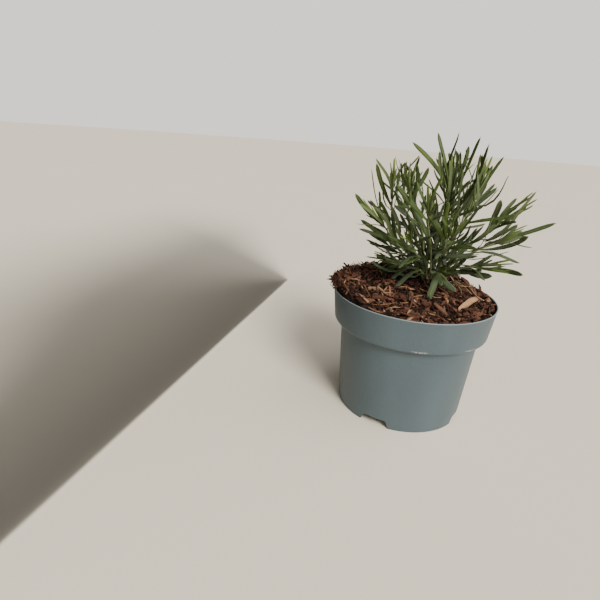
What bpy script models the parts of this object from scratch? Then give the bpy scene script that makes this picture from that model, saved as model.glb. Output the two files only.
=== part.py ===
"""Potted lavender: a young lavender plant in a thin-walled 17 cm nursery pot, topped with bark mulch.

Metres, +Z up. The origin is the centre of the pot's footprint on the surface that it stands on. The pot's
four feet lie on the X and Y axes and its four drain notches on the diagonals. The plant and the mulch are
laid out in the planting frame, which is turned by PLANTING_TURN about Z.
"""
import math
import random

import bmesh
import bpy
from mathutils import Matrix, Quaternion, Vector
from mathutils.bvhtree import BVHTree

MM = 0.001
GAP = 0.0003
MERGE = 0.00001
UP = Vector((0.0, 0.0, 1.0))

# The pot: a rim band that stands out from a tapered body, on a notched foot ring.
POT_HEIGHT = 0.128
RIM_RADIUS = 0.0840
BAND_FOOT_RADIUS = 0.0802
BAND_HEIGHT = 0.0341
BAND_ROUNDING = 0.0035
BODY_TOP_RADIUS = 0.0723
FOOT_RADIUS = 0.0664
POT_WALL = 0.0012
FOOT_WALL = 0.0017
FLOOR_UNDERSIDE = 0.0105
NOTCH_COUNT = 4
NOTCH_WIDTH = 0.0315
NOTCH_TOP_WIDTH = 0.0235
NOTCH_HEIGHT = 0.0085
NOTCH_TURN = math.radians(45.0)
NOTCH_CUT_DEPTH = 0.012
NOTCH_CUT_RADIUS = FOOT_RADIUS - 0.0015
DRAIN_RADIUS = 0.0050
DRAIN_CIRCLE = 0.0400
DRAIN_COUNT = 8
DRAIN_STEPS = 10
POT_STEPS = 40
SHELF_RISE = 0.0006
BAND_ROUNDING_STEPS = 3

# The root ball and the mulch bed that fill it.
ROOT_BALL_TOP = 0.1120
ROOT_BALL_FLARE = 0.0008
ROOT_BALL_SHELF = 0.0006
BED_BOTTOM = ROOT_BALL_TOP + GAP
BED_RADIUS = RIM_RADIUS - POT_WALL - 0.0012
BED_STEPS = 40
BED_LEVEL = 0.1335
BED_SUNK_DEPTH = 0.0105
BED_SUNK_HEADING = math.radians(-38.0)
BED_HEAP = 0.0040
BED_HEAP_RADIUS = 0.030
BED_BANK = 0.0038
BED_BANK_HEADING = math.radians(172.0)
BED_EDGE_DROP = 0.0016
BED_LUMP = 0.0008
BED_LUMP_WAVES = (310.0, 270.0, 520.0, 480.0)
BED_RINGS = (0.0, 0.14, 0.28, 0.42, 0.56, 0.70, 0.84, 0.95, 1.0)

# The plant: a woody crown that stands in a bore through the mulch, and shoots that rise from its head.
PLANTING_TURN = math.radians(-29.0)
CROWN_PLACE = Vector((0.014, 0.016, 0.0))
CROWN_FOOT = 0.1040
CROWN_NECK_RADIUS = 0.0045
CROWN_HEAD_RADIUS = 0.0075
CROWN_HEAD = 0.1415
CROWN_TOP = 0.1500
CROWN_TOP_RING = 0.0034
CROWN_DOME = ((0.55, 0.0012), (0.92, 0.0045))
CROWN_SHOULDER = 0.0015
CROWN_NECK_DROP = 0.0025
CROWN_TOE = 0.0020
CROWN_TOE_SHARE = 0.6
CROWN_STEPS = 12
CROWN_UPRIGHT_SPREAD = 0.0130
STEM_RADIUS = 0.0012
STEM_TIP_RADIUS = 0.0007
STEM_POINTS = 9
LEAF_ROOT_OUT = 0.00032
LEAF_THICKNESS = 0.0009
LEAF_STATIONS = (0.0, 0.34, 0.66, 0.89)
LEAF_THINNING = 0.35
LEAF_FOOT_WIDTH = 0.24
LEAF_FULL_FROM = 0.42
LEAF_FULL_TO = 0.62
LEAF_TIP_RUN = 0.40
LEAF_PAIRS_FROM = 0.14
LEAF_PAIRS_TO = 0.97
LEAF_PAIR_TURN = math.radians(97.0)
LEAF_SPLAY = (42.0, 58.0)
LEAF_SPLAY_LOSS = 34.0
LEAF_CURL = (12.0, 48.0)
LEAF_REACH = (0.74, 1.12)
LEAF_REACH_LOSS = 0.25
LEAF_WIDTHS = (0.8, 1.1)
LEAF_HEADING_STRAY = 0.25
LEAF_TURN_STRAY = 50.0
LEAF_TRIES = 22
LEAF_TRY_STEPS = 12
PAIRED_STRAY = 0.010
LONG_STRAY = 0.004
FOLIAGE_HALF = 0.0840
FOLIAGE_TOP = 0.28651
DOME_TOP = 0.276
DOME_FALL = 8.0
SEED = 41

# Each shoot: name, guide points in mm above the crown, leaf pairs, leaf length and width in mm.
SHOOTS = (
    ("shoot_left_high", ((-14, 12, 170), (-33, 8, 202), (-37, 5, 233)), 7, 45, 4.3),
    ("shoot_left_inner", ((-6, 20, 178), (-22, 20, 207), (-28, 20, 238)), 7, 42, 3.9),
    ("shoot_middle_left", ((0, 8, 186), (-14, -3, 215), (-20, -5, 231)), 6, 42, 4.8),
    ("shoot_front_tall", ((9, -12, 180), (3, -30, 204), (2, -35, 214)), 7, 50, 5.0),
    ("shoot_centre_tall", ((19, 14, 182), (18, 10, 213), (15, 5, 247)), 8, 48, 5.0),
    ("shoot_centre_rear", ((25, 26, 190), (25, 28, 220), (22, 25, 248)), 8, 48, 4.6),
    ("shoot_right_high", ((30, 4, 192), (38, -3, 214), (43, 0, 239)), 7, 48, 4.8),
    ("shoot_right_middle", ((38, 8, 177), (56, 2, 196), (73, -4, 218)), 7, 45, 4.8),
    ("shoot_right_low", ((38, -8, 172), (53, -19, 186), (66, -25, 196)), 6, 41, 4.3),
    ("shoot_right_basal", ((30, 8, 156), (43, -3, 162), (58, -10, 168)), 4, 36, 4.0),
    ("shoot_left_middle", ((-8, 6, 163), (-28, -7, 182), (-41, -10, 198)), 7, 42, 4.8),
    ("shoot_left_basal", ((1, 6, 152), (-10, 2, 155), (-24, 0, 158)), 4, 36, 4.7),
    ("shoot_rear_centre", ((16, 32, 178), (17, 43, 204), (18, 46, 224)), 7, 45, 5.0),
    ("shoot_rear_left", ((4, 30, 172), (-9, 44, 196), (-15, 50, 221)), 7, 45, 4.6),
    ("shoot_rear_right", ((27, 30, 172), (38, 44, 198), (45, 50, 226)), 7, 48, 4.8),
    ("shoot_front_left", ((6, 2, 162), (-4, -20, 174), (-9, -33, 186)), 6, 42, 4.8),
    ("shoot_front_right", ((20, 0, 165), (23, -24, 182), (25, -38, 197)), 7, 45, 4.8),
    ("shoot_rear_low", ((16, 40, 160), (14, 58, 174), (11, 66, 190)), 7, 38, 4.5),
    ("shoot_rear_left_low", ((0, 30, 152), (-22, 40, 158), (-38, 44, 166)), 5, 36, 4.3),
    ("shoot_front_basal", ((16, 6, 155), (17, -4, 157), (20, -16, 160)), 4, 30, 4.6),
)

# The longest leaves of some shoots: place along the stem, tip in mm, width in mm, curl and turn in degrees.
LONG_LEAVES = {
    "shoot_left_high": (
        (0.84, (-53, 5, 260), 3.7, 32, -46),
        (0.78, (-57, 10, 252), 5.4, -15, -65),
        (0.50, (-64, -5, 245), 3.6, -30, -46),
    ),
    "shoot_left_inner": (
        (0.80, (-16, 25, 262), 3.6, -28, 46),
        (0.92, (-31, 20, 256), 3.6, 10, -46),
        (0.88, (-23, 15, 253), 3.6, -15, 46),
    ),
    "shoot_middle_left": (
        (0.80, (-7, -10, 254), 4.6, 12, 60),
        (0.90, (-14, 0, 255), 4.1, -10, 46),
    ),
    "shoot_front_tall": (
        (0.80, (-29, -45, 238), 5.4, 20, -60),
        (0.92, (2, -35, 241), 4.4, 8, -70),
    ),
    "shoot_centre_tall": (
        (0.86, (-20, -5, 277), 5.2, 18, -70),
        (0.96, (-1, 5, 286.5), 3.6, 30, -46),
        (0.90, (11, 0, 286), 5.0, 10, -80),
        (0.60, (48, -10, 276), 5.0, -8, 70),
    ),
    "shoot_centre_rear": (
        (0.90, (29, 25, 276), 4.9, 18, 46),
        (0.84, (39, 25, 284), 3.6, -12, 46),
    ),
    "shoot_right_high": (
        (0.72, (17, 20, 268), 3.7, -20, -46),
        (0.94, (44, 5, 269), 4.3, 8, 46),
        (0.84, (60, 10, 268), 3.6, -20, 46),
        (0.70, (43, -20, 254), 5.8, -10, 80),
        (0.80, (69, -20, 251), 5.2, -45, 60),
    ),
    "shoot_right_middle": (
        (0.72, (62, -16, 236), 5.8, 25, 70),
        (0.86, (85, -5, 237), 5.2, -12, 60),
        (0.90, (91, -15, 241), 3.6, -15, 46),
        (0.58, (83, -22, 223), 4.9, -32, 46),
    ),
    "shoot_right_low": (
        (0.90, (109, -24, 218), 4.5, -22, 38),
        (0.66, (92, -32, 205), 4.9, -55, 38),
    ),
    "shoot_right_basal": (
        (0.86, (98, -19, 168), 4.1, -55, 38),
        (0.60, (71, 0, 155), 4.9, -32, 38),
        (0.34, (60, -14, 163), 5.9, -10, 38),
    ),
    "shoot_left_middle": (
        (0.92, (-72, -10, 223), 5.4, -18, -60),
        (0.70, (-63, 0, 197), 4.9, -18, -46),
        (0.52, (-63, -15, 192), 4.3, -28, -46),
    ),
    "shoot_left_basal": (
        (0.90, (-40, 12, 141), 5.5, 20, -38),
        (0.60, (-27, -2, 143), 5.5, 25, -38),
        (0.30, (-21, -14, 139), 5.5, 20, -38),
    ),
    "shoot_front_right": (
        (0.84, (14, -40, 227), 3.9, 15, -46),
    ),
    "shoot_rear_left_low": (
        (0.86, (-62, 50, 163), 4.1, -15, -38),
        (0.70, (-44, 56, 160), 4.5, -12, -38),
        (0.60, (-49, 50, 141), 5.3, 22, -38),
        (0.50, (-46, 32, 141), 5.5, 18, -38),
    ),
    "shoot_front_basal": (
        (0.90, (16, -34, 133), 5.4, 50, 10),
        (0.70, (38, -20, 141), 5.2, 32, 10),
    ),
}

# Bark chips that lie on the bed: name, place and length, width, thickness in mm, heading and tan share.
CHIPS = (
    ("bark_chip_large_tan", (53, -16), (34, 9, 3.0), 58, 1.0),
    ("bark_chip_front", (27, -44), (17, 5, 2.4), -20, 0.5),
    ("bark_chip_front_left", (-30, -52), (19, 6, 2.6), 35, 0.3),
    ("bark_chip_left", (-62, -6), (18, 5, 2.4), 70, 0.2),
    ("bark_chip_left_rear", (-56, 34), (16, 6, 2.6), -40, 0.1),
    ("bark_chip_orange", (-38, -33), (14, 6, 2.4), 15, 0.8),
    ("bark_chip_middle", (-10, -38), (15, 5, 2.2), -60, 0.2),
    ("bark_chip_front_edge", (2, -66), (16, 6, 2.4), 5, 0.3),
    ("bark_chip_right_front", (50, -42), (15, 5, 2.4), 50, 0.2),
    ("bark_chip_right", (68, 26), (13, 5, 2.2), 80, 0.4),
    ("bark_chip_rear", (20, 71), (16, 5, 2.4), -8, 0.2),
    ("bark_chip_rear_right", (54, 52), (15, 6, 2.4), -50, 0.3),
)
BARK_RED = Vector((0.20, 0.075, 0.04))
BARK_TAN = Vector((0.46, 0.25, 0.12))
CHIP_TAPER = 0.55
CHIP_BOW = 0.25
CHIP_WIDTHS = (0.85, 1.1)
CHIP_THICKNESSES = (0.75, 1.05)
CHIP_END_STRAY = 0.03
CHIP_TRIES = 60
CHIP_STEP = 0.0002
SLOPE_STEP = 0.004
STRAW_POINTS = ((38, 17, 141.5), (45, 8, 140.5), (54, 14, 139), (60, 26, 138.5))


def in_metres(point):
    """A point in millimetres, in metres."""
    return Vector(point) * MM


def clear_scene():
    """Remove what the file holds and make the two collections."""
    for obj in list(bpy.data.objects):
        bpy.data.objects.remove(obj, do_unlink=True)
    parts = bpy.data.collections.new("potted_lavender")
    cutters = bpy.data.collections.new("cutters")
    for collection in (parts, cutters):
        bpy.context.scene.collection.children.link(collection)
    return parts, cutters


def finish(name, color, roughness):
    """A Principled material."""
    made = bpy.data.materials.new(name)
    made.use_nodes = True
    shader = made.node_tree.nodes["Principled BSDF"]
    shader.inputs["Base Color"].default_value = (*color, 1.0)
    shader.inputs["Roughness"].default_value = roughness
    shader.inputs["Metallic"].default_value = 0.0
    return made


def mesh_object(name, mesh, collection, material=None):
    """A mesh as a named object in a collection."""
    obj = bpy.data.objects.new(name, mesh)
    collection.objects.link(obj)
    if material is not None:
        mesh.materials.append(material)
    return obj


def realised(obj):
    """The object with its modifiers or curve turned into a welded mesh."""
    bpy.context.view_layer.update()
    seen = obj.evaluated_get(bpy.context.evaluated_depsgraph_get())
    mesh = bpy.data.meshes.new_from_object(seen)
    work = bmesh.new()
    work.from_mesh(mesh)
    bmesh.ops.remove_doubles(work, verts=work.verts, dist=MERGE)
    work.to_mesh(mesh)
    work.free()
    made = bpy.data.objects.new(obj.name, mesh)
    made.matrix_world = obj.matrix_world.copy()
    for collection in obj.users_collection:
        collection.objects.link(made)
    name = obj.name
    bpy.data.objects.remove(obj, do_unlink=True)
    made.name = name
    return made


def turned(name, profile, steps, collection, material):
    """A closed solid of revolution; the profile runs down its outer side."""
    mesh = bpy.data.meshes.new(name)
    points = [(radius, 0.0, height) for radius, height in profile]
    edges = [(i, i + 1) for i in range(len(points) - 1)]
    mesh.from_pydata(points, edges, [])
    obj = mesh_object(name, mesh, collection, material)
    screw = obj.modifiers.new("turn", "SCREW")
    screw.steps = steps
    screw.render_steps = steps
    screw.use_merge_vertices = True
    screw.merge_threshold = MERGE
    screw.use_smooth_shade = False
    return obj


def cut(obj, cutter):
    """Take a cutter away from an object."""
    cutter.hide_render = True
    cutter.display_type = "WIRE"
    boolean = obj.modifiers.new("cut_" + cutter.name, "BOOLEAN")
    boolean.operation = "DIFFERENCE"
    boolean.solver = "EXACT"
    boolean.object = cutter


def cylinder(name, radius, low, high, collection, place=(0.0, 0.0), sides=16):
    """An upright cylinder."""
    work = bmesh.new()
    bmesh.ops.create_cone(
        work, cap_ends=True, segments=sides, radius1=radius, radius2=radius, depth=high - low)
    mesh = bpy.data.meshes.new(name)
    work.to_mesh(mesh)
    work.free()
    obj = mesh_object(name, mesh, collection)
    obj.location = (place[0], place[1], (high + low) / 2)
    return obj


def on_circle(radius, angle):
    """The x and y of a point on a circle about the origin."""
    return radius * math.cos(angle), radius * math.sin(angle)


# ---------------------------------------------------------------------------------------------- pot

def pot_profile():
    """The pot's wall and floor: up the inside, over the rim, down the outside and under the floor."""
    band_foot = POT_HEIGHT - BAND_HEIGHT
    floor = FLOOR_UNDERSIDE + POT_WALL
    inside = [
        (0.0, floor),
        (FOOT_RADIUS - POT_WALL, floor),
        (BODY_TOP_RADIUS - POT_WALL, band_foot + POT_WALL),
        (BAND_FOOT_RADIUS - POT_WALL, band_foot + POT_WALL + SHELF_RISE),
        (RIM_RADIUS - POT_WALL, POT_HEIGHT),
    ]
    rounding = []
    centre = Vector((BAND_FOOT_RADIUS - BAND_ROUNDING, band_foot + BAND_ROUNDING))
    for step in range(BAND_ROUNDING_STEPS + 1):
        out, up = on_circle(BAND_ROUNDING, -math.pi / 2 * step / BAND_ROUNDING_STEPS)
        rounding.append((centre.x + out, centre.y + up))
    outside = [
        (RIM_RADIUS, POT_HEIGHT),
        *rounding,
        (BODY_TOP_RADIUS, band_foot),
        (FOOT_RADIUS, 0.0),
        (FOOT_RADIUS - FOOT_WALL, 0.0),
        (FOOT_RADIUS - FOOT_WALL, FLOOR_UNDERSIDE),
        (0.0, FLOOR_UNDERSIDE),
    ]
    return inside + outside


def make_pot(parts, cutters):
    """The pot with its drain notches and drain holes."""
    plastic = finish("pot_plastic", (0.10, 0.16, 0.19), 0.45)
    pot = turned("pot", pot_profile(), POT_STEPS, parts, plastic)
    for index in range(NOTCH_COUNT):
        angle = NOTCH_TURN + index * math.tau / NOTCH_COUNT
        work = bmesh.new()
        bmesh.ops.create_cube(work, size=1.0)
        for vert in work.verts:
            width = NOTCH_TOP_WIDTH if vert.co.z > 0 else 2 * NOTCH_WIDTH - NOTCH_TOP_WIDTH
            vert.co.y *= width
        bmesh.ops.scale(work, verts=work.verts, vec=(NOTCH_CUT_DEPTH, 1.0, 2 * NOTCH_HEIGHT))
        mesh = bpy.data.meshes.new("notch_cutter")
        work.to_mesh(mesh)
        work.free()
        cutter = mesh_object(f"notch_cutter_{index + 1}", mesh, cutters)
        cutter.location = (*on_circle(NOTCH_CUT_RADIUS, angle), 0.0)
        cutter.rotation_euler = (0.0, 0.0, angle)
        cut(pot, cutter)
    for index in range(DRAIN_COUNT):
        angle = NOTCH_TURN / 2 + index * math.tau / DRAIN_COUNT
        place = on_circle(DRAIN_CIRCLE, angle)
        low = FLOOR_UNDERSIDE - 0.002
        high = FLOOR_UNDERSIDE + POT_WALL + 0.002
        cut(pot, cylinder(f"drain_cutter_{index + 1}", DRAIN_RADIUS, low, high, cutters, place, DRAIN_STEPS))
    return pot


# ------------------------------------------------------------------------------ root ball and mulch

def eased(value, low, high):
    """0 up to low, 1 from high, smooth between."""
    share = min(1.0, max(0.0, (value - low) / (high - low)))
    return share * share * (3.0 - 2.0 * share)


def bed_height(x, y):
    """The mulch's height: heaped round the plant, sunk at the front right and banked at the left."""
    reach = min(1.0, math.hypot(x, y) / BED_RADIUS)
    heading = math.atan2(y, x)
    sunk = BED_SUNK_DEPTH * max(0.0, math.cos(heading - BED_SUNK_HEADING)) ** 0.6 * eased(reach, 0.30, 0.75)
    bank = BED_BANK * max(0.0, math.cos(heading - BED_BANK_HEADING)) ** 1.5 * eased(reach, 0.55, 0.90)
    from_crown = math.hypot(x - CROWN_PLACE.x, y - CROWN_PLACE.y) / BED_HEAP_RADIUS
    heap = BED_HEAP * math.exp(-from_crown ** 2)
    across, along, fine_across, fine_along = BED_LUMP_WAVES
    lumps = math.sin(x * across + 1.1) * math.cos(y * along - 0.6)
    lumps += 0.6 * math.sin(x * fine_across - y * fine_along)
    return BED_LEVEL - sunk + bank + heap + BED_LUMP * lumps - BED_EDGE_DROP * reach ** 8


def make_root_ball(parts, cutters, planting):
    """The root ball: the growing medium that fills the pot up to the mulch."""
    peat = finish("root_ball_peat", (0.05, 0.032, 0.02), 0.95)
    band_foot = POT_HEIGHT - BAND_HEIGHT
    clear = POT_WALL + 2 * GAP
    top_radius = BAND_FOOT_RADIUS - clear
    profile = [
        (0.0, ROOT_BALL_TOP),
        (top_radius + ROOT_BALL_FLARE, ROOT_BALL_TOP),
        (top_radius - ROOT_BALL_SHELF, band_foot + POT_WALL + 2 * ROOT_BALL_SHELF),
        (BODY_TOP_RADIUS - clear, band_foot + POT_WALL + ROOT_BALL_SHELF),
        (FOOT_RADIUS - clear, FLOOR_UNDERSIDE + POT_WALL + GAP),
        (0.0, FLOOR_UNDERSIDE + POT_WALL + GAP),
    ]
    ball = turned("root_ball", profile, POT_STEPS, parts, peat)
    bore_radius = CROWN_NECK_RADIUS + 2 * GAP
    bore = cylinder("root_ball_bore", bore_radius, CROWN_FOOT - GAP, ROOT_BALL_TOP + 0.01, cutters)
    bore.parent = planting
    bore.location += CROWN_PLACE
    bpy.context.view_layer.update()
    cut(ball, bore)
    return ball


def make_bed(parts, cutters, planting):
    """The mulch bed: one solid with a lumpy surface, bored for the crown."""
    bark = finish("bark_mulch", (0.17, 0.065, 0.035), 0.9)
    foot_radius = BAND_FOOT_RADIUS - POT_WALL + 0.0004
    profile = [(BED_RADIUS * share, POT_HEIGHT) for share in BED_RINGS]
    profile += [(foot_radius, BED_BOTTOM), (0.0, BED_BOTTOM)]
    bed = realised(turned("mulch_bed", profile, BED_STEPS, parts, bark))
    for vert in bed.data.vertices:
        if vert.co.z > (POT_HEIGHT + BED_BOTTOM) / 2:
            vert.co.z = bed_height(vert.co.x, vert.co.y)
    bed.parent = planting
    bore = cylinder("bed_bore", CROWN_NECK_RADIUS + 2 * GAP, BED_BOTTOM - 0.01, CROWN_TOP, cutters)
    bore.parent = planting
    bore.location += CROWN_PLACE
    cut(bed, bore)
    return bed


def make_crown(parts, planting):
    """The woody crown: a stub with a thick head, from which the shoots rise."""
    wood = finish("crown_wood", (0.16, 0.12, 0.07), 0.85)
    profile = [
        (0.0, CROWN_TOP),
        *[(CROWN_HEAD_RADIUS * share, CROWN_TOP - drop) for share, drop in CROWN_DOME],
        (CROWN_HEAD_RADIUS, CROWN_HEAD + CROWN_SHOULDER),
        (CROWN_NECK_RADIUS, CROWN_HEAD - CROWN_NECK_DROP),
        (CROWN_NECK_RADIUS, CROWN_FOOT + CROWN_TOE),
        (CROWN_NECK_RADIUS * CROWN_TOE_SHARE, CROWN_FOOT),
        (0.0, CROWN_FOOT),
    ]
    crown = turned("woody_crown", profile, CROWN_STEPS, parts, wood)
    crown.parent = planting
    crown.location = CROWN_PLACE
    return crown


# --------------------------------------------------------------------------------------- collisions

def surface_of(obj):
    """The evaluated surface of an object as points and faces in the planting frame."""
    bpy.context.view_layer.update()
    seen = obj.evaluated_get(bpy.context.evaluated_depsgraph_get())
    mesh = seen.to_mesh()
    turn = Matrix.Rotation(-PLANTING_TURN, 4, "Z") @ obj.matrix_world
    points = [turn @ vert.co for vert in mesh.vertices]
    faces = [tuple(face.vertices) for face in mesh.polygons]
    seen.to_mesh_clear()
    return points, faces


def tree_of(solids):
    """One search tree over several solids."""
    points = []
    faces = []
    for solid_points, solid_faces in solids:
        start = len(points)
        points.extend(solid_points)
        faces.extend(tuple(start + i for i in face) for face in solid_faces)
    return BVHTree.FromPolygons(points, faces)


def within_bounds(tip, paired):
    """Whether a leaf's tip stays inside the plant's outline."""
    placed = Matrix.Rotation(PLANTING_TURN, 3, "Z") @ tip
    if max(abs(placed.x), abs(placed.y)) > FOLIAGE_HALF or placed.z > FOLIAGE_TOP:
        return False
    away = tip - CROWN_PLACE
    return not paired or tip.z < DOME_TOP - DOME_FALL * (away.x ** 2 + away.y ** 2)


def box_mesh(length, width, thickness, rng):
    """A split of bark: a box with uneven ends and a slight bow."""
    work = bmesh.new()
    bmesh.ops.create_cube(work, size=1.0)
    lengthwise = [edge for edge in work.edges if abs(edge.verts[0].co.x - edge.verts[1].co.x) > 0.5]
    bmesh.ops.subdivide_edges(work, edges=lengthwise, cuts=3)
    for vert in work.verts:
        taper = 1.0 - CHIP_TAPER * (2 * abs(vert.co.x)) ** 2.5
        vert.co.y *= taper * rng.uniform(*CHIP_WIDTHS)
        vert.co.z = vert.co.z * rng.uniform(*CHIP_THICKNESSES) - CHIP_BOW * (2 * vert.co.x) ** 2
        vert.co.x += rng.uniform(-CHIP_END_STRAY, CHIP_END_STRAY)
    bmesh.ops.scale(work, verts=work.verts, vec=(length, width, thickness))
    bmesh.ops.triangulate(work, faces=work.faces)
    return work


def make_chips(parts, planting, bed):
    """The large bark chips, each settled on the bed."""
    rng = random.Random(SEED)
    ground = tree_of([surface_of(bed)])
    solids = []
    for name, place, size, heading, tan in CHIPS:
        length, width, thickness = in_metres(size)
        work = box_mesh(length, width, thickness, rng)
        x, y = in_metres((*place, 0)).xy
        slope_x = bed_height(x + SLOPE_STEP, y) - bed_height(x - SLOPE_STEP, y)
        slope_y = bed_height(x, y + SLOPE_STEP) - bed_height(x, y - SLOPE_STEP)
        tilt = UP.rotation_difference(Vector((-slope_x, -slope_y, 2 * SLOPE_STEP)).normalized())
        turn = tilt @ Quaternion(UP, math.radians(heading))
        height = bed_height(x, y) + thickness / 2
        for _ in range(CHIP_TRIES):
            shape = Matrix.Translation((x, y, height)) @ turn.to_matrix().to_4x4()
            points = [shape @ vert.co for vert in work.verts]
            faces = [tuple(vert.index for vert in face.verts) for face in work.faces]
            lowered = [point - UP * GAP for point in points]
            if not ground.overlap(BVHTree.FromPolygons(lowered, faces)):
                break
            height += CHIP_STEP
        mesh = bpy.data.meshes.new(name)
        work.to_mesh(mesh)
        work.free()
        color = BARK_RED.lerp(BARK_TAN, tan)
        chip = mesh_object(name, mesh, parts, finish(name, color, 0.85))
        chip.parent = planting
        chip.location = (x, y, height)
        chip.rotation_mode = "QUATERNION"
        chip.rotation_quaternion = turn
        solids.append((points, faces))
    return solids


# -------------------------------------------------------------------------------------------- shoots

def smooth_route(points, count):
    """Evenly spread points on a smooth curve through a few guide points."""
    guides = [2 * points[0] - points[1], *points, 2 * points[-1] - points[-2]]
    route = []
    spans = len(points) - 1
    for step in range(count):
        place = spans * step / (count - 1)
        span = min(int(place), spans - 1)
        t = place - span
        a, b, c, d = guides[span:span + 4]
        bend = (2 * a - 5 * b + 4 * c - d) * t ** 2 + (3 * b - a - 3 * c + d) * t ** 3
        route.append(0.5 * (2 * b + (c - a) * t + bend))
    return route


def stem_feet():
    """Where each stem leaves the crown: upright ones from its top, the others evenly round its head."""
    leaning = []
    upright = []
    for index, shoot in enumerate(SHOOTS):
        away = in_metres(shoot[1][0]) - CROWN_PLACE
        heading = math.atan2(away.y, away.x)
        group = upright if math.hypot(away.x, away.y) < CROWN_UPRIGHT_SPREAD else leaning
        group.append((heading, index))
    feet = {}
    for group, radius, low in (
        (upright, CROWN_TOP_RING, CROWN_TOP + GAP),
        (leaning, CROWN_HEAD_RADIUS + STEM_RADIUS + 3 * GAP, CROWN_HEAD + 0.0020),
    ):
        group.sort()
        spread = math.tau / len(group)
        start = sum(heading - spread * rank for rank, (heading, _) in enumerate(group)) / len(group)
        for rank, (_, index) in enumerate(group):
            height = low if group is upright else low + 0.0030 * (rank % 2)
            feet[index] = CROWN_PLACE + Vector((*on_circle(radius, start + spread * rank), height))
    return [feet[index] for index in range(len(SHOOTS))]


def stem_route(foot, guides):
    """The stem's route, from its foot on the crown to its apex."""
    return smooth_route([foot] + [in_metres(point) for point in guides], STEM_POINTS)


def place_on(route, share):
    """The point and the direction at a share of a route's length."""
    place = share * (len(route) - 1)
    span = min(int(place), len(route) - 2)
    t = place - span
    return route[span].lerp(route[span + 1], t), (route[span + 1] - route[span]).normalized()


def make_stem(name, route, parts, planting, material):
    """A stem as a thin tube."""
    curve = bpy.data.curves.new(name, "CURVE")
    curve.dimensions = "3D"
    curve.bevel_depth = STEM_RADIUS
    curve.bevel_resolution = 0
    curve.use_fill_caps = True
    spline = curve.splines.new("POLY")
    spline.points.add(len(route) - 1)
    for number, (point, place) in enumerate(zip(spline.points, route)):
        point.co = (*place, 1.0)
        share = number / (len(route) - 1)
        point.radius = 1.0 + (STEM_TIP_RADIUS / STEM_RADIUS - 1.0) * share
    obj = bpy.data.objects.new(name, curve)
    parts.objects.link(obj)
    made = realised(obj)
    made.data.materials.clear()
    made.data.materials.append(material)
    made.parent = planting
    return made


def leaf_width(share):
    """How wide a leaf is at a share of its length: a narrow foot, widest past the middle, a blunt tip."""
    foot = LEAF_FOOT_WIDTH + (1.0 - LEAF_FOOT_WIDTH) * min(1.0, share / LEAF_FULL_FROM)
    tip = math.sqrt(max(0.0, 1.0 - max(0.0, (share - LEAF_FULL_TO) / LEAF_TIP_RUN) ** 2))
    return foot * tip


def leaf_solid(plan, tip, extra=0.0):
    """A leaf as points and faces: a flat three-sided section along an arc from its root to a tip."""
    root, _, facing, width, curl, turn, _ = plan
    chord = tip - root
    along = chord.normalized()
    normal = Quaternion(along, turn) @ (facing - along * facing.dot(along)).normalized()
    side = normal.cross(along).normalized()
    swept = curl if abs(curl) > 0.01 else 0.01
    length = chord.length * (swept / 2) / math.sin(swept / 2)
    points = []
    for station in LEAF_STATIONS:
        angle = swept * (station - 0.5)
        reach = (math.sin(angle) + math.sin(swept / 2)) / swept
        lift = (math.cos(angle) - math.cos(swept / 2)) / swept
        centre = root + (along * reach + normal * lift) * length
        up = normal * math.cos(angle) + along * math.sin(angle)
        half = width / 2 * leaf_width(station) + extra
        thick = LEAF_THICKNESS * (1.0 - LEAF_THINNING * station) + extra
        low = centre - up * extra
        points.extend((low + side * half, centre + up * thick, low - side * half))
    points.append(tip + along * extra)
    last = len(LEAF_STATIONS) - 1
    faces = [(2, 1, 0)]
    for ring in range(last):
        for corner in range(3):
            a = 3 * ring + corner
            b = 3 * ring + (corner + 1) % 3
            faces.extend(((a, b, b + 3), (a, b + 3, a + 3)))
    for corner in range(3):
        faces.append((3 * last + corner, 3 * last + (corner + 1) % 3, len(points) - 1))
    return points, faces


def leaf_plans(index, shoot, route):
    """A shoot's leaves: each one's root, tip, stem direction, width, curl, turn and stray."""
    name, _, pairs, length, width = shoot
    rng = random.Random(SEED + 7 * index)
    plans = []
    for share, tip, leaf_w, curl, turn in LONG_LEAVES.get(name, ()):
        stem, heading = place_on(route, share)
        shape = (leaf_w * MM, math.radians(curl), math.radians(turn))
        plans.append((stem, in_metres(tip), heading, *shape, LONG_STRAY))
    phase = rng.uniform(0.0, math.pi)
    for pair in range(pairs):
        share = LEAF_PAIRS_FROM + (LEAF_PAIRS_TO - LEAF_PAIRS_FROM) * (pair / (pairs - 1)) ** 0.8
        stem, heading = place_on(route, share)
        across = heading.orthogonal().normalized()
        for half in range(2):
            azimuth = phase + pair * LEAF_PAIR_TURN + half * math.pi
            azimuth += rng.uniform(-LEAF_HEADING_STRAY, LEAF_HEADING_STRAY)
            outward = Quaternion(heading, azimuth) @ across
            splay = math.radians(rng.uniform(*LEAF_SPLAY) - LEAF_SPLAY_LOSS * share)
            chord = heading * math.cos(splay) + outward * math.sin(splay)
            reach = length * MM * rng.uniform(*LEAF_REACH) * (1.0 - LEAF_REACH_LOSS * eased(share, 0.6, 1.0))
            curl = rng.choice((-1.0, 1.0)) * math.radians(rng.uniform(*LEAF_CURL))
            turn = math.radians(rng.uniform(-LEAF_TURN_STRAY, LEAF_TURN_STRAY))
            leaf_w = width * MM * rng.uniform(*LEAF_WIDTHS)
            plans.append((stem, stem + chord * reach, heading, leaf_w, curl, turn, PAIRED_STRAY))
    rooted = []
    for stem, tip, heading, *rest in plans:
        away = tip - stem
        outward = (away - heading * away.dot(heading)).normalized()
        rooted.append((stem + outward * LEAF_ROOT_OUT, tip, heading, *rest))
    return rooted


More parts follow.
